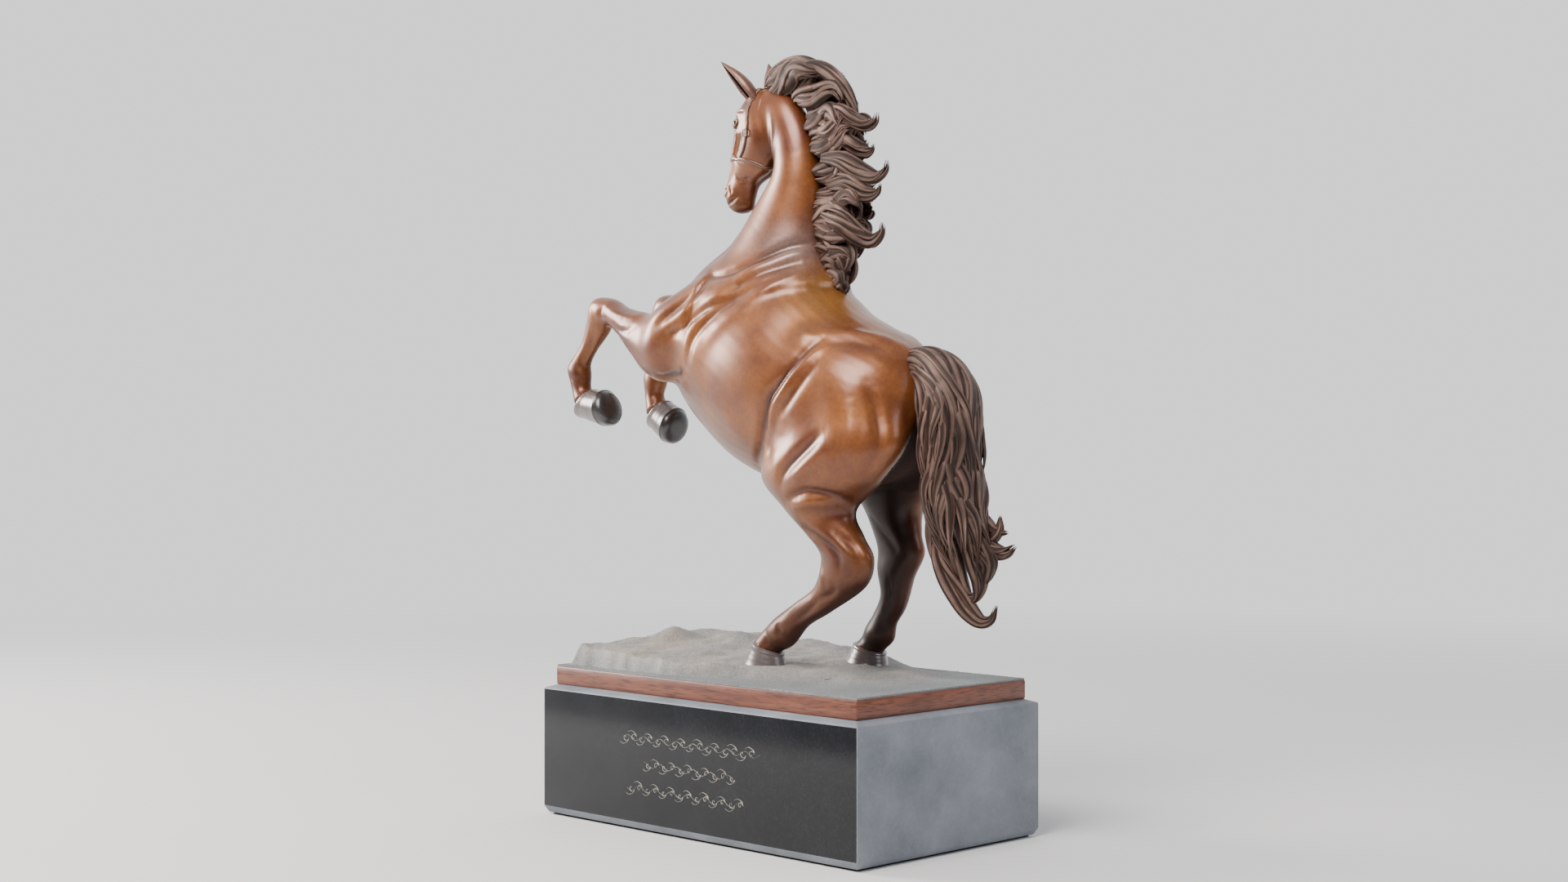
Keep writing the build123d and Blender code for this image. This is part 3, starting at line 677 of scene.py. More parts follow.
torso_sections = [
    ((-66, 382), (-90, 338), 22, 0),
    ((-48, 394), (-93, 314), 38, 0),
    ((-5, 390), (-82, 290), 49, 0),
    ((42, 372), (-58, 268), 56, 0),
    ((70, 352), (-32, 250), 57, 0),
    ((90, 342), (-2, 238), 54, 0),
    ((109, 333), (30, 232), 50, 0),
    ((124, 322), (66, 232), 44, 0),
    ((133, 306), (104, 240), 32, 0),
    ((136, 290), (124, 258), 16, 0),
]
neck_sections = [
    ((50, 372), (-76, 352), 40, 0),
    ((38, 392), (-64, 380), 32, 0),
    ((35, 412), (-43, 403), 25, 0),
    ((35, 434), (-24, 425), 19, 0),
    ((32, 458), (-8, 443), 15.5, 0),
    ((24, 481), (-5, 455), 14, 0),
    ((8, 501), (-6, 464), 12.5, 0),
    ((-12, 510), (-12, 474), 11, 0),
]
head_sections = [
    ((-24, 511), (-4, 503), 7, 0),
    ((-36, 502), (-1, 489), 12.5, 0),
    ((-43, 491), (1, 477), 14.5, 0),
    ((-46, 477), (-1, 463), 13.5, 0),
    ((-49, 464), (-10, 451), 11.5, 0),
    ((-52, 452), (-25, 443), 8.5, 0),
    ((-55, 442), (-30, 434), 8.5, 0),
    ((-54, 433), (-32, 427), 7.5, 0),
    ((-49, 427), (-37, 425), 5, 0),
]
left_foreleg_sections = [
    ((-42, 378), (-56, 312), 18, -30),
    ((-72, 367), (-82, 306), 20, -34),
    ((-94, 356), (-99, 311), 16, -34),
    ((-110, 357), (-112, 322), 13.5, -33.5),
    ((-128, 361), (-127, 335), 11.5, -32.5),
    ((-145, 368), (-143, 347), 10, -31),
    ((-164, 368), (-150, 347), 10, -30.5),
    ((-172, 352), (-154, 342), 8, -30),
    ((-178.5, 338), (-166, 330), 5.8, -30),
    ((-187, 328), (-173.5, 320), 6.2, -30),
    ((-194, 319), (-173.5, 313), 8, -30),
    ((-189.5, 304), (-173.5, 303), 7, -30),
    ((-184, 290), (-168, 299), 9, -30),
]
right_foreleg_sections = [
    ((-42, 378), (-56, 312), 18, 30),
    ((-72, 367), (-82, 306), 20, 33),
    ((-95, 358), (-99, 312), 16, 33),
    ((-110, 362), (-111, 327), 13.5, 33),
    ((-127, 367), (-124, 342), 11.5, 32),
    ((-143, 373), (-139, 352), 10, 31),
    ((-161, 372), (-149, 350), 10, 30.5),
    ((-169, 355), (-151, 347), 8, 30),
    ((-171, 336), (-156, 333), 5.8, 30),
    ((-173.5, 322), (-158, 320), 6.2, 30),
    ((-177, 313), (-156.5, 309), 8, 30),
    ((-175, 299), (-159.5, 299), 7, 29.5),
    ((-171, 283), (-156, 292), 9, 29),
]
left_hind_sections = [
    ((52, 318), (124, 292), 20, -20),
    ((24, 272), (132, 264), 27, -25),
    ((14, 242), (117, 240), 25, -30),
    ((36, 220), (93, 219), 18.5, -31),
    ((55, 203), (101, 202), 14, -30.5),
    ((66, 191), (110, 188), 11.5, -30),
    ((65, 179), (103, 170), 10.5, -29.5),
    ((57.3, 166.6), (72, 152), 7.5, -29),
    ((38.5, 155.7), (50.5, 141.3), 7.2, -28.5),
    ((22, 146), (36, 128), 9, -28),
    ((12, 138), (26, 123.5), 8.5, -28),
    ((3.5, 130), (21, 121), 10, -28),
]
right_hind_sections = [
    ((52, 318), (124, 292), 20, 20),
    ((32, 272), (132, 264), 26, 25),
    ((37, 240), (114, 238), 24, 28),
    ((52, 220), (99, 219), 17, 29),
    ((60, 203), (99, 203), 13, 29),
    ((64, 191), (102, 189), 11, 28.5),
    ((64, 178), (93, 172), 10, 28),
    ((66.5, 161.5), (85.5, 152.5), 7.5, 28),
    ((60, 148), (78, 141), 7.2, 28),
    ((53.5, 139), (75, 130), 9, 28),
    ((50, 132), (67, 123), 8.5, 28),
    ((45, 127), (64, 120.5), 10, 28),
]


torso_voxel = 1.5
trunk_parts = [(limb(torso_sections), 6, 1), (limb(neck_sections), 12, 1)]
trunk_parts += [(limb(left_foreleg_sections, 130), 7, 1), (limb(right_foreleg_sections, 130), 7, 1)]
trunk_parts += [(limb(left_hind_sections, 130), 6, 1), (limb(right_hind_sections, 130), 6, 1)]
skull = limb(head_sections)
skull_middles = skull.mean(1, keepdims=True)
trunk_parts += [(skull_middles + (skull - skull_middles) * 0.74, 3, 1)]
trunk_field = blend(trunk_parts, torso_voxel)
trunk, trunk_quads = skin_of(trunk_field, torso_voxel)
trunk_links = links_of(trunk_quads)
trunk = relax(trunk, trunk_links, 6)


def nearest_on(points, cloud):
    """The index of the cloud's nearest point to each given point."""
    return np.array([((cloud - p) ** 2).sum(1).argmin() for p in points])


mark_points = 120


def tool_mark(points, normals, knots, width, depth):
    """One pass of a modelling tool: points within reach of a curve on the skin move along their normals by
    depth times exp(-(distance / width)^2), fading to nothing at both ends of the curve."""
    path = through(np.array(knots, float), mark_points)
    room = np.flatnonzero(((points > path.min(0) - 14) & (points < path.max(0) + 14)).all(1))
    path = points[room][nearest_on(path, points[room])]
    for _ in range(16):
        path[1:-1] = (path[:-2] + 2 * path[1:-1] + path[2:]) / 4
    low, high = path.min(0) - 3 * width, path.max(0) + 3 * width
    near = np.flatnonzero(((points > low) & (points < high)).all(1))
    if len(near) == 0:
        return points
    gap = ((points[near][:, None] - path[None]) ** 2).sum(-1)
    place = gap.argmin(1) / (mark_points - 1)
    fade = np.clip(np.sin(np.pi * np.clip(place, 0.02, 0.98)), 0, 1) ** 0.6
    move = depth * fade * np.exp(-gap.min(1) / width**2)
    halfway = nearest_on(path[mark_points // 2 :][:1], points[room])
    same_side = (normals[near] * normals[room][halfway]).sum(1) > -0.2
    points = points.copy()
    points[near] += normals[near] * (move * same_side)[:, None]
    return points


def press(points, normals, centre, radii, height):
    """A thumbed swelling or hollow: points move along their normals by height times exp(-r^2), r being the
    distance from the centre in units of the three radii."""
    centre = points[nearest_on([centre], points)[0]]
    r2 = (((points - centre) / np.array(radii)) ** 2).sum(1)
    near = r2 < 9
    points = points.copy()
    points[near] += normals[near] * (height * np.exp(-r2[near]))[:, None]
    return points


def on_limb(rings, place, angle, outer):
    """The point of a limb's own surface at a share of its length and an angle from its front to its
    outer side."""
    row = np.clip(place, 0, 1) * (len(rings) - 1)
    column = (outer * angle / 360 * rings.shape[1]) % rings.shape[1]
    return rings[int(round(row)), int(round(column)) % rings.shape[1]]


# muscles of the trunk, on both sides: (centre, radii, height)
trunk_presses = [
    ((-40, -50, 332), (16, 14, 22), 3.5),
    ((-20, -45, 362), (16, 14, 14), 2.5),
    ((8, -38, 380), (18, 14, 10), 2.0),
    ((92, -42, 306), (30, 26, 28), 3.6),
    ((62, -54, 270), (16, 16, 28), 2.6),
    ((97, -46, 268), (18, 20, 28), 2.8),
    ((44, -50, 250), (12, 14, 14), 1.8),
    ((20, -54, 318), (26, 20, 22), 1.5),
    ((62, -46, 336), (10, 10, 8), 2.0),
]
# grooves (depth below 0) and ridges, on both sides: (curve, width, depth). Many of these points were
# printed by a scratch program that cast spots seen in the photo onto the skin; report.md says which.
trunk_marks = [
    ([(74, -38, 332), (70, -40, 328), (60, -49, 314), (50, -53, 302), (40, -55, 292), (32, -52, 275),
      (20, -43, 258), (6, -31, 248)], 3.2, -3.6),
    ([(78, -40, 326), (71, -44, 320), (60, -50, 308), (52, -53, 297), (43, -53, 284), (34, -50, 270)], 3.4,
     2.4),
    ([(80, -44, 316), (72, -48, 308), (62, -52, 295), (52, -54, 282)], 3.0, -1.8),
    ([(89, -51, 270), (71, -54, 257), (54, -54, 243), (49, -52, 234)], 4.0, -3.4),
    ([(93, -50, 262), (75, -54, 248), (62, -53, 238)], 4.5, 2.0),
    ([(56, -53, 295), (45, -53, 281), (33, -47, 262), (43, -52, 246)], 4.5, -1.8),
    ([(52, -50, 226), (61, -52, 229), (74, -52, 232), (86, -49, 231), (95, -43, 228), (98, -33, 222)], 3.0,
     -3.0),
    ([(56, -50, 221), (64, -50, 223), (76, -48, 225), (88, -44, 223)], 4.0, 2.4),
    ([(17, -35, 373), (1, -44, 363), (-18, -49, 351), (-32, -51, 338), (-40, -51, 323), (-47, -48, 312)],
     3.6, -3.2),
    ([(24, -36, 366), (8, -45, 354), (-10, -50, 341), (-24, -52, 328)], 5.0, 1.5),
    ([(-2, -40, 368), (-7, -44, 363), (-32, -48, 352), (-47, -49, 342), (-63, -51, 338)], 3.0, -2.6),
    ([(-42, -42, 369), (-52, -47, 360), (-64, -51, 352), (-74, -53, 344)], 3.0, -2.4),
    ([(-25, -40, 371), (-40, -46, 360), (-56, -50, 348), (-68, -52, 342)], 3.4, 1.8),
    ([(36, -6, 400), (22, -22, 394), (7, -30, 387), (-12, -35, 379), (-30, -35, 376), (-40, -30, 378)],
     3.6, -3.4),
    ([(34, -10, 391), (20, -25, 388), (4, -33, 381), (-12, -38, 374)], 4.0, 2.2),
    ([(35, -15, 386), (23, -27, 381), (8, -36, 375), (-6, -41, 368), (-19, -44, 361)], 2.8, -2.0),
    ([(40, -12, 381), (35, -23, 375), (25, -33, 369), (12, -41, 360)], 3.0, 1.4),
    ([(70, -36, 333), (79, -30, 335), (96, -21, 334), (113, -12, 329), (125, -5, 322)], 4.0, 1.6),
    ([(74, -40, 326), (86, -34, 327), (100, -27, 325), (116, -18, 318)], 4.0, -1.3),
    ([(111, -37, 301), (119, -36, 282), (121, -36, 262), (112, -38, 244)], 4.0, -2.2),
    ([(102, -44, 292), (106, -44, 274), (102, -44, 254)], 5.0, 1.2),
    ([(-83, -47, 312), (-77, -43, 308), (-63, -43, 311), (-51, -47, 313)], 3.0, -3.0),
    ([(2, -9, 466), (-2, -8, 459), (-8, -5, 453), (-14, -2, 446)], 4.0, -2.0),
    ([(-14, -4, 440), (-22, -10, 420), (-33, -18, 400), (-44, -22, 386)], 4.0, -2.0),
    ([(16, -14, 460), (18, -16, 440), (12, -20, 420), (4, -24, 404)], 9.0, 1.0),
    ([(12, -46, 262), (-2, -50, 280), (-18, -52, 296)], 8.0, 1.0),
]
trunk_normals = normals_of(trunk, trunk_quads)
for side in (-1, 1):
    flip = np.array([1, -side, 1])
    for centre, radii, height in trunk_presses:
        trunk = press(trunk, trunk_normals, np.array(centre) * flip, radii, height)
    for knots, width, depth in trunk_marks:
        trunk = tool_mark(trunk, trunk_normals, np.array(knots, float) * flip, width * 1.1, depth * 0.8)
trunk_normals = normals_of(trunk, trunk_quads)

# muscles, tendons and bones of the limbs: (share of length, angle from front to outer side) curves
fore_marks = [
    ([(0.30, 60), (0.36, 80), (0.42, 95), (0.48, 100)], 2.6, -2.2),
    ([(0.28, 110), (0.34, 120), (0.42, 130), (0.50, 140)], 2.6, -2.0),
    ([(0.30, 30), (0.38, 45), (0.46, 55), (0.52, 60)], 3.0, 1.6),
    ([(0.33, -60), (0.40, -75), (0.48, -90)], 2.8, -1.8),
    ([(0.545, 60), (0.56, 90), (0.57, 120)], 1.8, -1.2),
    ([(0.60, 60), (0.61, 90), (0.62, 120)], 1.8, -1.0),
    ([(0.66, 120), (0.74, 125), (0.82, 125)], 1.8, -1.6),
    ([(0.66, -120), (0.74, -125), (0.82, -125)], 1.8, -1.6),
    ([(0.66, 150), (0.74, 155), (0.83, 160)], 1.8, 1.0),
    ([(0.90, 60), (0.91, 90), (0.92, 130)], 2.0, -1.2),
]
hind_marks = [
    ([(0.44, 60), (0.50, 80), (0.55, 95), (0.60, 100)], 3.0, -2.8),
    ([(0.44, 85), (0.50, 110), (0.56, 125)], 3.6, 1.8),
    ([(0.46, 130), (0.53, 145), (0.60, 150)], 3.0, -2.4),
    ([(0.48, -60), (0.56, -90), (0.62, -110)], 3.0, -2.0),
    ([(0.60, 40), (0.64, 60), (0.68, 80)], 2.4, 1.5),
    ([(0.63, 95), (0.67, 110), (0.71, 100)], 2.2, -1.8),
    ([(0.70, 100), (0.77, 105), (0.84, 110)], 1.9, -1.8),
    ([(0.70, -100), (0.77, -105), (0.84, -110)], 1.9, -1.8),
    ([(0.70, 140), (0.78, 145), (0.85, 150)], 2.0, 1.2),
    ([(0.72, 40), (0.80, 45), (0.86, 50)], 2.2, 1.0),
    ([(0.88, 70), (0.90, 100), (0.91, 140)], 2.0, -1.6),
    ([(0.95, 40), (0.955, 90), (0.96, 150)], 2.0, -1.2),
]
limb_marks = [
    (limb(left_foreleg_sections, 130), -1, fore_marks),
    (limb(right_foreleg_sections, 130), 1, fore_marks),
    (limb(left_hind_sections, 130), -1, hind_marks),
    (limb(right_hind_sections, 130), 1, hind_marks),
]
for rings, outer, marks in limb_marks:
    for route, width, depth in marks:
        knots = [on_limb(rings, place, angle, outer) for place, angle in route]
        trunk = tool_mark(trunk, trunk_normals, knots, width * 1.1, depth * 0.6)
trunk_normals = normals_of(trunk, trunk_quads)
trunk_hollow = hollowness(trunk, trunk_normals, trunk_links)


def patinated_bronze(name, pale, mid, dark, rough=0.34, metal=0.5, wax=0.75):
    """Waxed patina: clouds of colour tens of mm wide and a fine brush stipple, darker in the hollows, where
    the skin also carries painted shade.
    The piece's attributes add umber areas, which on the skin and face are painted shade, a golden painted
    highlight, and pale areas, which on the withers are a painted highlight; the coat is thinner where the
    umber is."""
    material, tree, shader = new_material(name)
    coords = add(tree, "ShaderNodeTexCoord")
    hollow = add(tree, "ShaderNodeAttribute", attribute_name="hollow")
    clouds = add(tree, "ShaderNodeTexNoise", {"Scale": 28, "Detail": 4, "Roughness": 0.55},
                 {"Vector": (coords, "Object")})
    stipple = add(tree, "ShaderNodeTexNoise", {"Scale": 420, "Detail": 5, "Roughness": 0.7},
                  {"Vector": (coords, "Object")})
    tone = ramp(tree, clouds, "Fac", [(0.3, dark), (0.5, mid), (0.7, pale)])
    tone_output = 0
    # umber is painted shade on the skin and face and an even darker tone on the ears; golden is a painted
    # highlight on the back; the pale tint is a painted highlight on the withers and a pale tone on other
    # pieces
    for label, tint in (("umber", "#35170c"), ("golden", "#a4702a"), ("bloom", "#a08c88")):
        share = add(tree, "ShaderNodeAttribute", attribute_name=label)
        mixed_in = {0: (share, "Fac"), 6: (tone, tone_output)}
        tone = add(tree, "ShaderNodeMix", {7: paint(tint)}, mixed_in, data_type="RGBA")
        tone_output = 2
    spots = ramp(tree, stipple, "Fac", [(0.3, "#9a8c82"), (0.6, "#ffffff")])
    speckled = add(tree, "ShaderNodeMix", {"Factor": 0.35}, {6: (tone, 2), 7: (spots, 0)},
                   data_type="RGBA", blend_type="MULTIPLY")
    # darker where the hollow attribute is high: patina in the hollows, and on the skin also painted shade on
    # inward faces
    shade = ramp(tree, hollow, "Fac", [(0.45, "#ffffff"), (0.68, "#9a8272"), (0.95, "#33241d")])
    colour = add(tree, "ShaderNodeMix", {"Factor": 1.0}, {6: (speckled, 2), 7: (shade, 0)},
                 data_type="RGBA", blend_type="MULTIPLY")
    tree.links.new(colour.outputs[2], shader.inputs["Base Color"])
    gloss = add(tree, "ShaderNodeMapRange", {"To Min": rough * 0.8, "To Max": rough * 1.35},
                {"Value": (clouds, "Fac")})
    tree.links.new(gloss.outputs[0], shader.inputs["Roughness"])
    shader.inputs["Metallic"].default_value = metal
    # less coat where the umber attribute is high, which also takes the reflections out of the painted shade
    umber_and_painted_shade_share = add(tree, "ShaderNodeAttribute", attribute_name="umber")
    coat_thinned_by_umber_and_painted_shade = add(tree, "ShaderNodeMapRange", {"From Max": 0.9, "To Min": wax, "To Max": 0.12 * wax},
                   {"Value": (umber_and_painted_shade_share, "Fac")})
    tree.links.new(coat_thinned_by_umber_and_painted_shade.outputs["Result"], shader.inputs["Coat Weight"])
    shader.inputs["Coat Roughness"].default_value = 0.27
    relief = add(tree, "ShaderNodeBump", {"Strength": 0.12, "Distance": 0.0003}, {"Height": (stipple, "Fac")})
    tree.links.new(relief.outputs[0], shader.inputs["Normal"])
    return material


skin_bronze = patinated_bronze("hot_patinated_waxed_bronze", "#96561f", "#80461b", "#682f14", rough=0.4,
                               metal=0.5)
hollow_patina_and_painted_shade = np.clip(0.45 + trunk_hollow * 2.2, 0, 1)
# painted shade: the skin gets darker towards the bottom of the horse and on faces turned down
painted_shade_share = np.clip((255 - trunk[:, 2]) / 100, 0, 1) * 0.72 + np.clip(-trunk_normals[:, 2], 0, 1) * 0.3


def near_to(points, centre, radii):
    """A bell exp(-r^2) round a point, r being the distance from it in units of the three radii."""
    return np.exp(-(((points - centre) / radii) ** 2).sum(1))


# painted shade on the faces low on the hind half that turn towards the other side, between the hind legs:
# they darken through the hollow ramp and the umber tint
inner = np.clip(-np.sign(trunk[:, 1]) * trunk_normals[:, 1], 0, 1) * (trunk[:, 2] < 300) * (trunk[:, 0] > 10)
hollow_patina_and_painted_shade = np.clip(hollow_patina_and_painted_shade + 0.3 * inner, 0, 1)
# painted shade on those inward faces and in the hollow under the tail
painted_shade_share += 0.7 * inner + 0.8 * near_to(trunk, [104, 2, 262], [22, 17, 34])
# painted shade in the gap between the jaw and the throat
painted_shade_share += 0.8 * near_to(trunk, [-4, 0, 455], [12, 14, 15])
# painted shade on the lower parts of the forelegs
painted_shade_share += np.clip((-150 - trunk[:, 0]) / 30, 0, 1) * np.clip((352 - trunk[:, 2]) / 20, 0, 1) * 0.5
# painted highlights: a golden patch on the top of the back and a pale patch on the withers, where light from
# above falls
golden_painted_highlight = 0.8 * near_to(trunk, [62, -22, 368], [24, 30, 22])
withers_painted_highlight = 0.55 * near_to(trunk, [28, -22, 396], [30, 26, 16])
most_painted_shade = 0.95
patina = {
    "hollow": hollow_patina_and_painted_shade,
    "umber": np.clip(painted_shade_share, 0, most_painted_shade),
    "golden": golden_painted_highlight,
    "bloom": withers_painted_highlight,
}
# under the tail a matt, nearly black bronze without coat is painted shade in the hollow there
under_tail_painted_shade_bronze = patinated_bronze("painted_shade_dark_bronze", "#2c1a12", "#22130d", "#180d09", rough=0.8,
                                  metal=0.2, wax=0.0)
horse = build("horse_skin", trunk, trunk_quads, floats=patina, creases=180,
              slots=(skin_bronze, under_tail_painted_shade_bronze))
under_tail = near_to(trunk, [112, -2, 254], [22, 26, 44]) > 0.36
horse.data.polygons.foreach_set("material_index", under_tail[trunk_quads].all(1).astype(np.int32))
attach(horse, "root")
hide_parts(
    "barrel",
    "hindquarters",
    "neck",
    "left_foreleg",
    "right_foreleg",
    "left_hind_leg",
    "right_hind_leg",
)

# ------------------------------------------------------------------ head
# The head and poll are one casting, modelled with finer tools than the trunk: cheek muscle,
# facial crest, brow, nostril and lips. A sleeve at its rear end laps over the neck's own skin.

head_voxel = 0.7
sleeve_rings = 48
sleeve = limb(neck_sections, 160, 64)[-sleeve_rings:]
sleeve_middles = sleeve.mean(1, keepdims=True)
sleeve_scale = np.interp(np.arange(sleeve_rings), [0, 3, 26, 47], [0.9, 0.98, 1.008, 1.008])[:, None, None]
sleeve = sleeve_middles + (sleeve - sleeve_middles) * sleeve_scale
head_field = blend([(sleeve, 3, 1), (limb(head_sections, 120, 64), 3, 1)], head_voxel)
face, face_quads = skin_of(head_field, head_voxel)
face_links = links_of(face_quads)
face = relax(face, face_links, 5)
face_normals = normals_of(face, face_quads)
# (centre, radii, height): cheek, cheekbone, brow, eye socket, hollow above the eye, side of the
# nose, nostril wing, corner of the lips, chin, upper lip
face_presses = [
    ((-14, -13, 474), (11, 8, 13), 1.5),
    ((-31, -12, 479), (5, 4, 3), 0.9),
    ((-35, -11, 493), (5, 4, 3), 1.6),
    ((-38, -9, 486), (3.6, 3, 3), -1.8),
    ((-26, -11, 500), (4, 4, 4), -1.2),
    ((-47, -8, 457), (6, 3, 8), -1.0),
    ((-53, -6, 441), (4, 3.5, 4), 1.5),
    ((-38, -7, 437), (5, 4, 4), -1.0),
    ((-43, -2, 426), (4.5, 4, 3), 1.0),
    ((-51, -3, 430), (3, 4, 3), 0.7),
]
face_marks = [
    ([(-31, -12, 484), (-35, -11.5, 476), (-40, -10.5, 466), (-43, -9.5, 458)], 1.6, 1.3),
    ([(-28, -13, 478), (-32, -12.5, 470), (-37, -11, 460)], 2.0, -1.0),
    ([(-44, -6, 488), (-47, -6, 474), (-50.5, -5.5, 460), (-53, -4.5, 449)], 1.6, 0.9),
    ([(-56, -4, 443.5), (-54.5, -6.2, 440), (-52, -7, 440.5), (-50.5, -7.2, 443)], 1.3, -3.0),
    ([(-57, -3.2, 444), (-55.5, -6, 437.5), (-51.5, -8, 437.5), (-49, -8, 442)], 1.0, 0.8),
    ([(-52, -3.5, 430.5), (-48, -6, 431.5), (-43, -7.5, 433), (-39, -8, 435)], 0.9, -1.6),
    ([(-50, -5, 434), (-46, -7, 436), (-42, -8, 438)], 1.3, 0.8),
    ([(-1, -11, 488), (1, -11, 478), (0, -10, 468), (-6, -9, 458), (-15, -9, 450), (-24, -8, 444)], 2.2, 0.8),
    ([(-42, -9, 470), (-37, -11, 462), (-30, -12, 456)], 0.8, 0.5),
    ([(-40, -9.5, 450), (-33, -10, 446), (-26, -9.5, 446)], 1.6, -0.9),
    ([(-37, -9, 492), (-32, -11.5, 494), (-27, -12, 493)], 0.8, -0.8),
    ([(-39, -7.5, 496), (-33, -10, 498)], 0.8, -0.5),
    ([(-47, -8, 446), (-45, -8.5, 441), (-44, -8.5, 437)], 0.9, -0.8),
]
for side in (-1, 1):
    flip = np.array([1, -side, 1])
    for centre, radii, height in face_presses:
        face = press(face, face_normals, np.array(centre) * flip, radii, height)
    for knots, width, depth in face_marks:
        face = tool_mark(face, face_normals, np.array(knots, float) * flip, width, depth)
face = tool_mark(face, face_normals, [(0, 0, 474), (-7, 0, 456), (-19, 0, 446), (-27, 0, 440)], 3.0, -2.2)
face = relax(face, face_links, 1)
face_normals = normals_of(face, face_quads)
face_hollow = hollowness(face, face_normals, face_links)
# painted shade on the face: darker towards the bottom, on faces turned down, and in the gap between jaw and
# throat
face_painted_shade = np.clip((452 - face[:, 2]) / 30, 0, 1) * 0.6 + np.clip(-face_normals[:, 2], 0, 1) * 0.3
face_painted_shade += 0.9 * near_to(face, [0, 0, 457], [13, 18, 17])
face_patina = {
    "hollow": np.clip(0.45 + face_hollow * 3.2, 0, 1),
    "umber": np.clip(face_painted_shade, 0, most_painted_shade),
    "golden": np.zeros(len(face)),
    "bloom": 0.15 * near_to(face, [-36, 0, 500], [10, 14, 9]),
}
head_skin = build("head_skin", face, face_quads, floats=face_patina, creases=180, slots=(skin_bronze,))
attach(head_skin, "root")
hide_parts("head")

# ------------------------------------------------------------------ hooves
# Each hoof is cast with its leg but coloured dark grey: a wall with a ridge at the coronet,
# faint growth rings across it, a ridge at the ground edge and a rounded sole.


def hoof_rings(coronet, sole, around=64):
    """Rings from the coronet to the sole, each an ellipse between two planes, flared by its scale.
    Past the ridge at the ground edge the rings close in a rounded sole, worn as a hoof in wax is."""
    (f0, r0, w0, y0), (f1, r1, w1, y1) = coronet, sole
    steps = [(-0.06, 0.8), (0.0, 0.96), (0.04, 1.05), (0.1, 1.06), (0.16, 1.01)]
    steps += [(0.26, 1.02), (0.29, 1.023), (0.32, 1.02), (0.44, 1.03), (0.47, 1.033), (0.5, 1.03)]
    steps += [(0.64, 1.03), (0.68, 1.05), (0.72, 1.05), (0.75, 1.0), (0.77, 0.98), (0.82, 0.95)]
    steps += [(0.89, 0.88), (0.94, 0.77), (0.98, 0.6), (1.0, 0.38), (1.003, 0.2), (1.004, 0.05)]
    share, scale = (np.array(c)[:, None] for c in zip(*steps))
    turn = np.linspace(0, 2 * np.pi, around, endpoint=False)[None]
    front = np.array(f0) + (np.array(f1) - np.array(f0)) * share
    rear = np.array(r0) + (np.array(r1) - np.array(r0)) * share
    width, side = w0 + (w1 - w0) * share, y0 + (y1 - y0) * share
    middle, half = (front + rear) / 2, (front - rear) / 2
    x = middle[:, :1] + half[:, :1] * scale * np.cos(turn)
    z = middle[:, 1:] + half[:, 1:] * scale * np.cos(turn)
    y = side + width * scale * np.sin(turn)
    return np.stack([x, y, z], -1)


hoof_bronze = patinated_bronze("dull_dark_hoof_bronze", "#3f3f42", "#2f2e31", "#211f20", rough=0.3,
                               metal=0.35)
hoof_planes = {
    "left_fore_hoof": (((-184, 283), (-168, 302), 10.5, -30), ((-143, 273), (-149, 301), 13.5, -30)),
    "right_fore_hoof": (((-170, 276), (-154, 295), 10.5, 29), ((-144.5, 259), (-135.5, 286), 13.5, 29)),
    "left_hind_hoof": (((2.5, 130), (24, 122), 10.2, -28), ((-9, 108), (28, 106), 13.5, -28)),
    "right_hind_hoof": (((44, 128), (66, 121), 10.2, 28), ((34, 110), (68, 108), 13.5, 28)),
}
for hoof_name, (coronet, sole) in hoof_planes.items():
    hoof_grid = hoof_rings(coronet, sole)
    pale_rings = np.interp(np.arange(len(hoof_grid)), [3, 12, 14], [0.36, 0.26, 0.03])
    pale_band = np.append(np.repeat(pale_rings, hoof_grid.shape[1]), [0.3, 0.05])
    hoof_patina = {"hollow": np.full(len(pale_band), 0.4), "bloom": pale_band}
    hoof = close_ends(hoof_name + "_cast", hoof_grid, floats=hoof_patina, slots=(hoof_bronze,))
    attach(hoof, "root")
    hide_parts(hoof_name)

# ------------------------------------------------------------------ ears
# Each ear is a thin cast leaf, cupped towards the front, with a rolled edge and a dark inside.


def unit(vectors):
    """Vectors scaled to length 1."""
    return vectors / (np.linalg.norm(vectors, axis=-1, keepdims=True) + 1e-12)


def ear_rings(knots, radii, opening, rings=40):
    """A crescent carried along a curve: an outer arc of 256 degrees and an inner arc of 0.68 of its
    radius, moved a tenth of it towards the opening, with the radius read off a second curve."""
    path = through(knots, rings)
    along = unit(np.gradient(path, axis=0))
    mouth = unit(np.array(opening) - along * (along @ np.array(opening))[:, None])
    side = np.cross(along, mouth)
    place = np.linspace(0, 1, rings)
    radius = np.interp(place, np.linspace(0, 1, len(radii)), radii)[:, None]
    outer = np.radians(np.linspace(-128, 128, 27))
    inner = np.radians(np.linspace(112, -112, 19))
    back = np.concatenate([-np.cos(outer), -np.cos(inner) * 0.68 + 0.1])
    wide = np.concatenate([np.sin(outer), np.sin(inner) * 0.68])
    return (
        path[:, None]
        + mouth[:, None] * (radius * back)[..., None] * 0.85
        + side[:, None] * (radius * wide)[..., None]
    )


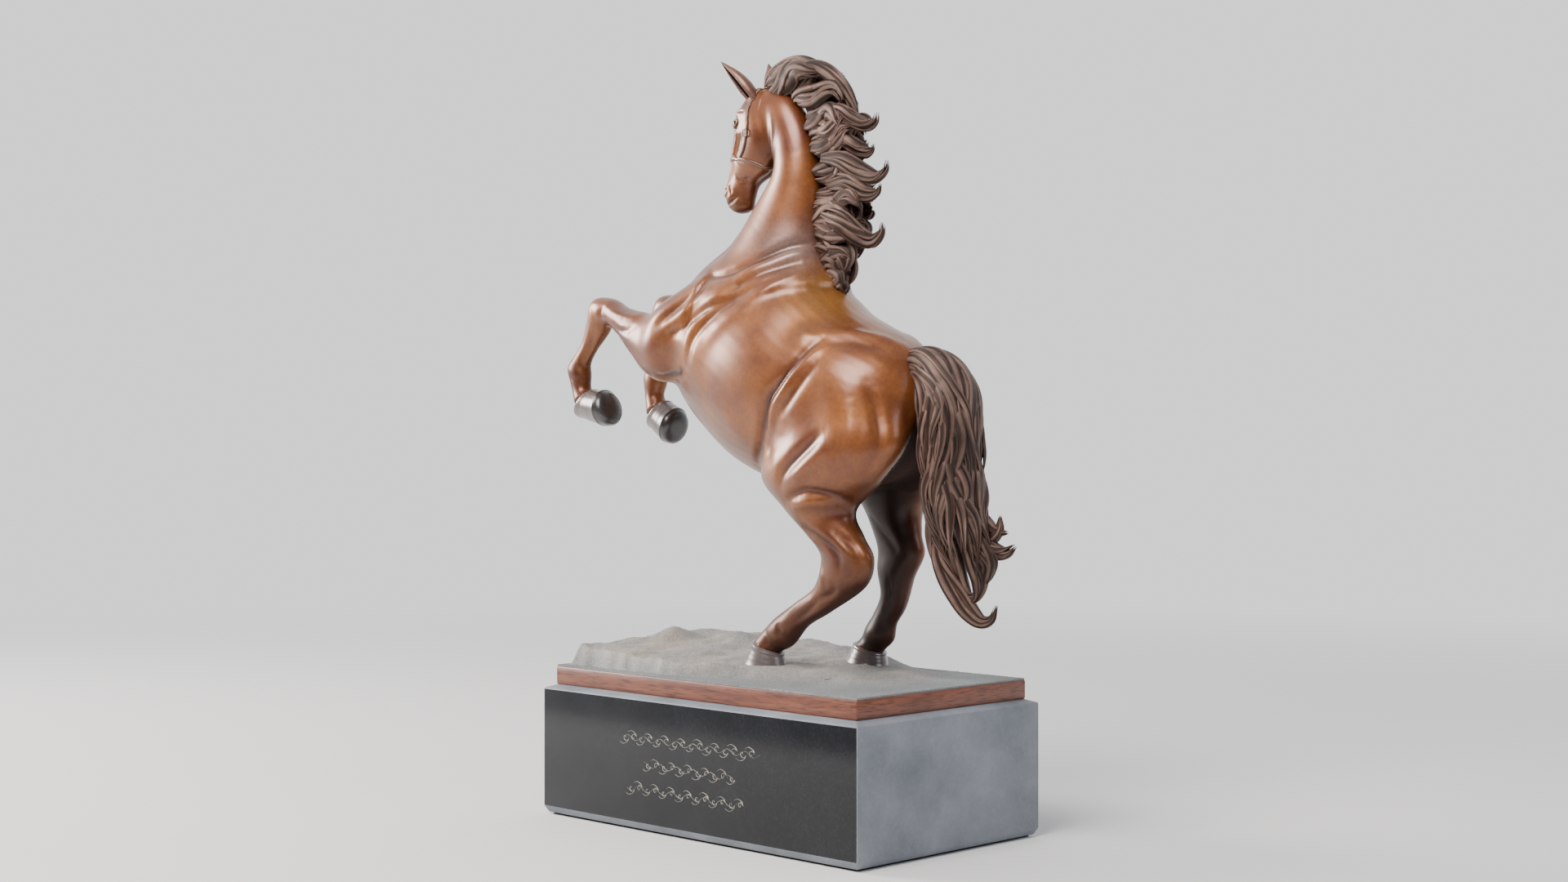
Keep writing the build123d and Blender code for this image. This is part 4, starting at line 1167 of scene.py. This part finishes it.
ear_shapes = {
    "left_ear": (
        [(-19, -6, 497), (-25, -8.5, 506), (-33, -11.5, 516), (-41, -14.5, 524.5), (-46, -16, 529.5)],
        (-0.5, -0.75, -0.35),
    ),
    "right_ear": (
        [(-15, 6, 500), (-18.5, 8.5, 508), (-23.5, 11.5, 517), (-28.5, 14.5, 525), (-31.5, 16, 530.2)],
        (-0.7, 0.7, -0.1),
    ),
}
for ear_name, (knots, opening) in ear_shapes.items():
    ear_grid = ear_rings(knots, [3.6, 5.2, 6.2, 6.6, 6.2, 5.2, 3.8, 2.1, 0.5], opening)
    inside = np.tile(np.concatenate([np.full(27, 0.35), np.full(19, 0.75)]), len(ear_grid))
    inside = np.append(inside, [0.4, 0.4])
    ear_patina = {"hollow": inside, "umber": np.full(len(inside), 0.45), "bloom": np.full(len(inside), 0.2)}
    ear = close_ends(ear_name + "_cast", ear_grid, floats=ear_patina, creases=180, slots=(skin_bronze,))
    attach(ear, "root")
    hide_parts(ear_name)

# ------------------------------------------------------------------ eyes
# Each eye is a small polished dark ball in the socket, with lids that are rolled beads of wax.

eye_bronze = patinated_bronze("polished_dark_eye_bronze", "#3a2418", "#26170f", "#150c08", rough=0.16,
                              metal=0.4)


def carried(path, across, up, outline, scale=None):
    """An outline of (across, up) pairs carried along a path, in mm, scaled point by point."""
    scale = np.ones(len(path)) if scale is None else scale
    shape = np.asarray(outline, float)
    laid = across[:, None] * shape[None, :, :1] + up[:, None] * shape[None, :, 1:]
    return path[:, None] + laid * scale[:, None, None]


def hoop_faces(rings, around):
    """Quads of a tube whose last ring joins its first."""
    index = np.arange(rings * around).reshape(rings, around)
    after = np.roll(index, -1, 1)
    return np.stack([index, after, np.roll(after, -1, 0), np.roll(index, -1, 0)], -1).reshape(-1, 4)


bead_turn = np.linspace(0, 2 * np.pi, 10, endpoint=False)
bead = np.stack([np.cos(bead_turn), np.sin(bead_turn)], -1)
lid_points = 40
lid_turn = np.linspace(0, 2 * np.pi, lid_points, endpoint=False)[:, None]
for side, eye_name in ((-1, "left_eye"), (1, "right_eye")):
    centre = np.array([-36.0, side * 9.4, 485.6])
    outward = unit(np.array([-0.5, side * 0.86, 0.08]))
    along = unit(np.cross(outward, [0.85, 0, 0.25]))
    along = unit(np.cross(along, outward)) * -1
    high = np.cross(outward, along) * side
    ball = swelling((0, 0, 0), (3.9, 3.9, 3.9)) + centre
    lid = centre + outward * 2.6 + np.cos(lid_turn) * along * 3.9 + np.sin(lid_turn) * high * 2.4
    lid = lid + outward * (-1.3 * np.cos(lid_turn) ** 2)
    tangent = unit(np.roll(lid, -1, 0) - np.roll(lid, 1, 0))
    lid_grid = carried(lid, np.cross(tangent, outward), np.repeat(outward[None], lid_points, 0), bead * 0.8)
    ball_shade = {"hollow": np.full(ball[..., 0].size + 2, 0.4)}
    lid_shade = {"hollow": np.full(lid_grid[..., 0].size, 0.45)}
    eyeball = close_ends(eye_name + "_ball", ball, floats=ball_shade, slots=(eye_bronze,))
    lid_quads = hoop_faces(*lid_grid.shape[:2])
    lids = build(eye_name + "_lids", lid_grid.reshape(-1, 3), lid_quads, floats=lid_shade,
                 slots=(skin_bronze,))
    for piece, finish in ((eyeball, "bronze_eye"), (lids, "bronze_skin")):
        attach(piece, "root")
    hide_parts(eye_name)

# ------------------------------------------------------------------ halter
# A thin show halter modelled in wax on the head and cast with it: a crown strap behind the
# ears, a cheek strap on each side with a small buckle, and a noseband.

halter_bronze = patinated_bronze("halter_strap_bronze", "#7d5638", "#66412a", "#48301f", rough=0.42)


def on_skin(path, lift):
    """Each point moved onto the nearest point of the skin, then out along the skin's normal there."""
    nearest = nearest_on(path, face)
    placed = face[nearest] + face_normals[nearest] * lift
    for _ in range(3):
        placed[1:-1] = (placed[:-2] + 2 * placed[1:-1] + placed[2:]) / 4
    return placed, face_normals[nearest]


strap_shade = 0.42
strap_outline = np.array([(-1.3, -0.6), (1.3, -0.6), (1.45, 0.0), (1.1, 0.45), (0, 0.6), (-1.1, 0.45),
                          (-1.45, 0.0)])


def strap(name, knots, node, count=90):
    """A flat strap outline carried along a curve that is laid onto the skin."""
    path, up = on_skin(through(knots, count), 0.35)
    tangent = unit(np.gradient(path, axis=0))
    across = unit(np.cross(up, tangent))
    grid = carried(path, across, np.cross(tangent, across), strap_outline)
    shade = {"hollow": np.full(grid[..., 0].size + 2, strap_shade)}
    made = close_ends(name, grid, floats=shade, creases=60, slots=(halter_bronze,))
    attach(made, "root")
    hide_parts(node)


crown_half = [(-21, -14, 481), (-22.5, -13, 492), (-21, -10.5, 503), (-16, -6, 511)]
strap("crown_strap", crown_half + [(-14, 0, 513)] + [(x, -y, z) for x, y, z in crown_half[::-1]],
      "halter_crown")
for side, label in ((-1, "left"), (1, "right")):
    knots = [(-21, side * 14, 482), (-23, side * 14, 474), (-27, side * 12, 467), (-32, side * 11, 461.5)]
    strap(label + "_cheek_strap", knots, "halter_cheeks", 50)
nose_half = [(-50, 0, 463), (-44, -9, 462), (-32, -12, 461), (-19, -11, 457), (-8, 0, 452)]
ring = nose_half + [(x, -y, z) for x, y, z in nose_half[-2::-1]]
strap("noseband", ring, "halter_noseband", 140)
buckle_points = 28
buckle_bead = bead[:8] * 0.55
buckle_centre, buckle_up = on_skin(np.array([[-22.0, -14, 478], [-22.0, 14, 478]]), 1.0)
for centre, up, label in zip(buckle_centre, buckle_up, ("left", "right")):
    turn = np.linspace(0, 2 * np.pi, buckle_points, endpoint=False)
    tall = unit(np.cross(up, [0, 1, 0] if abs(up[1]) < 0.8 else [1, 0, 0]))
    wide = np.cross(up, tall)
    square = [np.abs(wave) ** 0.4 * np.sign(wave) for wave in (np.cos(turn), np.sin(turn))]
    loop = centre + wide * square[0][:, None] * 2.1 + tall * square[1][:, None] * 2.4
    tangent = unit(np.roll(loop, -1, 0) - np.roll(loop, 1, 0))
    buckle_grid = carried(loop, np.cross(tangent, up), np.repeat(up[None], buckle_points, 0), buckle_bead)
    ring_quads = hoop_faces(*buckle_grid.shape[:2])
    shade = {"hollow": np.full(buckle_grid[..., 0].size, strap_shade)}
    ring_points = buckle_grid.reshape(-1, 3)
    buckle = build(label + "_buckle", ring_points, ring_quads, floats=shade, slots=(halter_bronze,))
    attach(buckle, "root")
    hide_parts("halter_buckles")

# ------------------------------------------------------------------ mane
# The mane is built up in wax as long wavy locks, combed with a loop tool into strands and
# blown back from the crest. It is cast in three pieces and patinated a dusty brown.


def hair_bronze_of(name, pale, mid, dark):
    """Dusty brown patina on combed hair: dark in the cuts between strands and pale on their crests."""
    material, tree, shader = new_material(name)
    coords = add(tree, "ShaderNodeTexCoord")
    crest = add(tree, "ShaderNodeAttribute", attribute_name="crest")
    strand_map = add(tree, "ShaderNodeMapping", {"Scale": (2.0, 26.0, 1.0)}, {"Vector": (coords, "UV")})
    strands = add(tree, "ShaderNodeTexNoise", {"Scale": 1.0, "Detail": 4, "Roughness": 0.6},
                  {"Vector": (strand_map, 0)}, noise_dimensions="2D")
    clouds = add(tree, "ShaderNodeTexNoise", {"Scale": 45, "Detail": 4}, {"Vector": (coords, "Object")})
    base = ramp(tree, clouds, "Fac", [(0.3, dark), (0.5, mid), (0.7, pale)])
    cut = ramp(tree, crest, "Fac", [(0.1, "#3a2a22"), (0.4, "#a08c80"), (0.7, "#ffffff")])
    comb = ramp(tree, strands, "Fac", [(0.32, "#5e4a41"), (0.62, "#ffffff")])
    tone = add(tree, "ShaderNodeMix", {"Factor": 1.0}, {6: (base, 0), 7: (cut, 0)}, data_type="RGBA",
               blend_type="MULTIPLY")
    colour = add(tree, "ShaderNodeMix", {"Factor": 0.7}, {6: (tone, 2), 7: (comb, 0)}, data_type="RGBA",
                 blend_type="MULTIPLY")
    tree.links.new(colour.outputs[2], shader.inputs["Base Color"])
    shader.inputs["Metallic"].default_value = 0.35
    shader.inputs["Roughness"].default_value = 0.46
    relief = add(tree, "ShaderNodeBump", {"Strength": 0.7, "Distance": 0.0006}, {"Height": (strands, "Fac")})
    tree.links.new(relief.outputs[0], shader.inputs["Normal"])
    return material


hair_bronze = hair_bronze_of("combed_hair_bronze", "#a3847a", "#7f6459", "#57423a")


hair_rings = 44


def locks(name, paths, sheet_normals, widths, thick, rng, node, around=20):
    """Many locks as one mesh. Each path is (rings, 3); a flattened outline is carried along it, fat in the
    middle and thin at both ends, its rim cut by 3 or 4 strand grooves that turn slowly along the lock."""
    paths = np.asarray(paths)
    number = len(paths)
    rings = hair_rings
    t = np.linspace(0, 1, rings)
    along = unit(np.gradient(paths, axis=1))
    normal = unit(sheet_normals - along * (along * sheet_normals).sum(-1, keepdims=True))
    across = np.cross(along, normal)
    turn = np.linspace(0, 2 * np.pi, around, endpoint=False)
    body = (np.sin(np.pi * np.clip(t * 0.93 + 0.07, 0, 1)) ** 0.55) * (1 - t**5) + 0.02
    strands = rng.integers(3, 5, number)[:, None, None]
    drift = (
        rng.uniform(0, 6, number)[:, None, None]
        + rng.uniform(-4, 4, number)[:, None, None] * t[None, :, None]
    )
    wave = 0.7 * np.cos(strands * turn + drift) + 0.3 * np.cos((2 * strands + 1) * turn - 0.7 * drift)
    groove = 1 + 0.12 * wave
    a = np.asarray(widths)[:, None, None] * body[None, :, None] * np.cos(turn) * groove
    b = np.asarray(thick)[:, None, None] * body[None, :, None] * np.sin(turn) * groove
    grid = paths[:, :, None] + across[:, :, None] * a[..., None] + normal[:, :, None] * b[..., None]
    points = grid.reshape(number, rings * around, 3)
    ends = np.stack([paths[:, 0], paths[:, -1]], 1)
    points = np.concatenate([points, ends], 1)
    per = rings * around + 2
    index = tube_faces(rings, around)
    lids = end_fans(rings, around)
    shift = (np.arange(number) * per)[:, None, None]
    quads, tris = (index[None] + shift).reshape(-1, 4), (lids[None] + shift).reshape(-1, 3)
    flat = points.reshape(-1, 3)
    u = np.broadcast_to(t[None, :, None], grid.shape[:3])
    v = np.broadcast_to((np.abs(turn / np.pi - 1))[None, None], grid.shape[:3])
    v = v + rng.uniform(0, 9, number)[:, None, None]
    uv = np.stack([u + rng.uniform(0, 9, number)[:, None, None], v], -1).reshape(number, -1, 2)
    uv = np.concatenate([uv, uv[:, [0, -1]]], 1)
    crest = (0.5 + 0.5 * np.broadcast_to(wave, grid.shape[:3])).reshape(number, -1)
    crest = np.concatenate([crest, np.full((number, 2), 0.5)], 1)
    shade = {"crest": crest.ravel()}
    made = build(name, flat, quads, tris, uv.reshape(-1, 2), shade, creases=180, slots=(hair_bronze,))
    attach(made, "root")
    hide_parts(node)


def bundle(centre, facing, wide, thick, count, rng, pinch=0.75):
    """Lock centre lines of one clump: count points spread over an ellipse by the golden angle are
    carried along the clump's line and turned slowly, while the ellipse narrows by pinch times t^2
    towards the tip."""
    t = np.linspace(0, 1, len(centre))
    along = unit(np.gradient(centre, axis=0))
    normal = unit(facing - along * (along * facing).sum(-1, keepdims=True))
    across = np.cross(along, normal)
    spot = np.arange(count) + 0.5
    radius = np.sqrt(spot / count)[:, None] * (1 + rng.uniform(-0.12, 0.12, (count, 1)))
    turned = (
        2.4 * spot[:, None]
        + rng.uniform(0, 6.28)
        + 1.3 * t
        + 0.35 * np.sin(2 * np.pi * t + spot[:, None])
    )
    narrow = 0.82 + 0.18 * np.sin(np.pi * t) - pinch * t**2
    a, b = wide * radius * np.cos(turned) * narrow, thick * radius * np.sin(turned) * narrow
    paths = centre + across * a[..., None] + normal * b[..., None]
    lean = normal * np.sin(turned)[..., None] * 0.8 + across * np.cos(turned)[..., None] * 0.35
    return paths, unit(lean + normal * 0.3)


crest_line = [(-16, 506), (-4, 509), (10, 503), (22, 490), (30, 472), (34, 452), (35, 430), (35, 408),
              (38, 388), (44, 374)]
blown_line = [(-7, 519), (12, 524), (36, 522), (57, 509), (68, 490), (73, 466), (76, 442), (75, 414),
              (66, 390), (52, 368)]
mane_thick = [5, 8, 10.5, 12, 13, 13.5, 13, 12, 9, 4]
mane_side = [1, 3, 5, 7, 8, 9, 9, 8, 6, 4]


def mane_paths(place, reach, layer, hook, rng):
    """Clump centre lines from the crest towards the blown edge. They leave the crest square to it, are
    swept down the neck, ride at their layer of the mane's thickness, wave, and hook up or down over
    the last part."""
    line = np.column_stack([np.array(crest_line, float), np.array(blown_line, float), mane_thick, mane_side])
    table = through(np.column_stack([line[:, :2], np.zeros(len(line)), line]), 400)[:, 3:]
    t = np.linspace(0, 1, hair_rings)
    sweep = rng.uniform(0.03, 0.12, len(place))
    where = np.clip(place[:, None] + sweep[:, None] * t**1.3, 0, 1) * (len(table) - 1)
    low = np.floor(where).astype(int).clip(0, len(table) - 2)
    row = table[low] + (table[low + 1] - table[low]) * (where - low)[..., None]
    out = (reach[:, None] * (t**0.9))[..., None]
    flat = row[..., 0:2] + (row[..., 2:4] - row[..., 0:2]) * out
    rise = np.sin(np.pi * np.clip(out[..., 0], 0, 1)) ** 0.7
    y = row[..., 5] * np.clip(t * 2.5, 0, 1) + layer[:, None] * row[..., 4] * (0.3 + 0.7 * rise)
    phase = rng.uniform(0, 6.28, len(place))
    sway = (1.0 + 3.2 * t)[None] * np.sin(2 * np.pi * 1.15 * t[None] + phase[:, None])
    sway = sway + hook[:, None] * np.clip((t - 0.6) / 0.4, 0, 1) ** 2
    heading = unit(np.gradient(flat, axis=1))
    flat = flat + np.stack([-heading[..., 1], heading[..., 0]], -1) * sway[..., None]
    y = y + 2.4 * np.sin(2 * np.pi * 0.9 * t[None] + phase[:, None] * 1.7) * t
    return np.stack([flat[..., 0], y, flat[..., 1]], -1)


# the big clumps that curl off the blown edge: (node, knots from the crest to the tip)
edge_curls = [
    ("mane_upper", [(8, -1, 508), (16, -2, 516), (28, 1, 518), (40, 3, 513), (50, 5, 503), (58, 7, 489),
                    (62, 8, 474)]),
    ("mane_upper", [(-14, 1, 508), (-8, 0, 517), (6, 1, 522), (20, 4, 520), (34, 7, 512), (44, 8, 500)]),
    ("mane_middle", [(38, -2, 484), (52, 0, 486), (62, 4, 480), (70, 8, 476), (77, 9, 478), (79, 9, 484)]),
    ("mane_middle", [(40, 0, 470), (56, 3, 466), (66, 7, 459), (73, 9, 458), (76, 9, 463)]),
    ("mane_middle", [(42, -4, 456), (58, -2, 452), (70, 4, 444), (80, 7, 440), (87, 8, 444), (89, 8, 451)]),
    ("mane_lower", [(44, -2, 440), (60, 0, 438), (72, 5, 430), (80, 8, 430), (83, 8, 436)]),
    ("mane_lower", [(44, -6, 418), (58, -4, 412), (68, 3, 402), (76, 7, 398), (83, 8, 403), (84, 8, 410)]),
]
rng = np.random.default_rng(21)
for start, end, node in ((0.0, 0.42, "mane_upper"), (0.36, 0.74, "mane_middle"), (0.68, 0.97, "mane_lower")):
    place = np.repeat(np.linspace(start + 0.02, end, 5), 3) + rng.uniform(-0.025, 0.025, 15)
    layer = np.tile([-0.82, 0.0, 0.82], 5)
    reach = np.where(layer == 0, 0.8, rng.uniform(0.62, 0.92, 15))
    centres = list(mane_paths(place.clip(0, 1), reach, layer, rng.uniform(-6, 6, 15), rng))
    shapes = [(7.5, 3.4, 6, 0.55) if flat_layer else (9.0, 5.5, 5, 0.3) for flat_layer in layer]
    for curl_node, knots in edge_curls:
        if curl_node == node:
            centres.append(through(knots, hair_rings))
            shapes.append((6.0, 4.5, 8, 0.55))
    paths, outward, widths = [], [], []
    for centre, (wide, deep, count, pinch) in zip(centres, shapes):
        across_mane = np.tile([0.0, -1.0 if centre[hair_rings // 2, 1] < 8 else 1.0, 0.2], (hair_rings, 1))
        clump, clump_facing = bundle(centre, across_mane, wide, deep, count, rng, pinch)
        paths.extend(clump)
        outward.extend(clump_facing)
        widths.extend(np.full(count, wide * 0.52) * rng.uniform(0.8, 1.2, count))
    widths = np.array(widths)
    locks(node + "_locks", np.array(paths), np.array(outward), widths, widths * 0.62, rng, node)

# ------------------------------------------------------------------ tail
# The tail is carried high and arched: locks leave the dock, fall over the arch and part at the
# end into upturned curls. It is cast in two pieces and free curls, welded together.

tail_knots = [(112, 0, 306), (124, 0, 313), (138, 0, 308), (148, 0, 293), (152, 0, 270), (152, 1, 245),
              (153, 2, 220), (158, 5, 198), (160, 8, 178)]
tail_deep = [8, 11, 15.5, 19, 21, 22, 22, 20, 13]
tail_wide = [8, 12, 16, 20, 22, 23, 23, 20, 13]


def tail_paths(angle, depth, rise, start, end, rng):
    """Lock centre lines that follow the tail's middle line from start to end at their own angle round it,
    and at their own depth under its surface, which some only reach halfway down, turning and waving."""
    knots = np.column_stack([np.array(tail_knots, float), tail_deep, tail_wide])
    table = through(knots, 300)
    middle = table[:, :3]
    along = unit(np.gradient(middle, axis=0))
    back = unit(np.cross(np.array([0.0, 1.0, 0.0]), along))
    t = np.linspace(0, 1, hair_rings)
    where = (start[:, None] + (end - start)[:, None] * t).clip(0, 1) * (len(table) - 1)
    low = np.floor(where).astype(int).clip(0, len(table) - 2)
    mix = (where - low)[..., None]
    row = table[low] * (1 - mix) + table[low + 1] * mix
    outward = back[low] * (1 - mix) + back[low + 1] * mix
    phase = angle * 3 + rng.uniform(-0.6, 0.6, len(angle))
    turned = (
        angle[:, None]
        + 0.22 * np.sin(2 * np.pi * 1.2 * t + phase[:, None])
        + rng.uniform(-0.3, 0.3, len(angle))[:, None] * t
    )
    near = depth[:, None] - rise[:, None] * (1 - t) ** 2 * depth[:, None] - 0.18 * t**4
    near = near * (1 + 0.05 * np.sin(2 * np.pi * 2.1 * t + phase[:, None] * 1.3))
    offset = outward * (row[..., 3] * np.cos(turned) * near)[..., None]
    offset = offset + np.array([0.0, 1.0, 0.0]) * (row[..., 4] * np.sin(turned) * near)[..., None]
    return row[..., :3] + offset, unit(offset + 1e-6)


for node, low_end, high_end, rise_share in (("tail_upper", 0.0, 0.7, 0.0), ("tail_lower", 0.3, 1.0, 0.55)):
    count = 84
    angle = 2.4 * np.arange(count) + rng.uniform(-0.1, 0.1, count)
    depth = np.where(np.arange(count) % 6 == 0, 0.5, rng.uniform(0.84, 0.98, count))
    start = low_end + rng.uniform(0, 0.1, count)
    end = high_end + rng.uniform(-0.2, 0.02, count)
    paths, outward = tail_paths(angle, depth, np.full(count, rise_share), start, end, rng)
    widths = np.where(depth < 0.6, 8.0, rng.uniform(2.8, 4.6, count))
    locks(node + "_locks", paths, outward, widths, widths * 0.6, rng, node)

curl_knots = [
    [(156, 6, 214), (163, 8, 203), (172, 12, 196), (182, 16, 193), (190, 18, 198)],
    [(152, 8, 216), (162, 10, 206), (171, 14, 202), (177, 16, 208), (178, 17, 217)],
    [(148, -4, 205), (146, -3, 192), (147, 2, 178), (153, 6, 165), (160, 8, 155), (168, 10, 149),
     (176, 11, 151), (180, 11, 160)],
    [(160, 6, 200), (164, 8, 188), (168, 9, 176), (165, 9, 165), (158, 7, 160)],
    [(150, 4, 208), (150, 5, 190), (153, 7, 176), (160, 8, 166), (167, 9, 168)],
    [(166, 4, 208), (172, 6, 197), (176, 9, 186), (172, 10, 176), (166, 9, 172)],
    [(147, -3, 228), (143, -4, 210), (142, -1, 194), (146, 3, 179), (153, 6, 168), (161, 8, 163)],
    [(158, 10, 226), (166, 13, 214), (175, 16, 207), (184, 18, 206)],
]
curl_locks = 8
paths, outward, widths = [], [], []
for knots, wide in zip(curl_knots, (6.5, 5.5, 7.0, 5.5, 6.0, 5.5, 8.0, 5.5)):
    centre = through(knots, hair_rings)
    clump, clump_facing = bundle(centre, np.tile([0.4, -0.9, 0.0], (hair_rings, 1)), wide, wide * 0.7,
                                 curl_locks, rng, 0.6)
    paths.extend(clump)
    outward.extend(clump_facing)
    widths.extend(np.full(curl_locks, wide * 0.5) * rng.uniform(0.8, 1.2, curl_locks))
widths = np.array(widths)
locks("tail_end_curls", np.array(paths), np.array(outward), widths, widths * 0.65, rng, "tail_curls")

# ------------------------------------------------------------------ sizes
# The finished model's box: the bounds of every shown piece.

low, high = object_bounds()
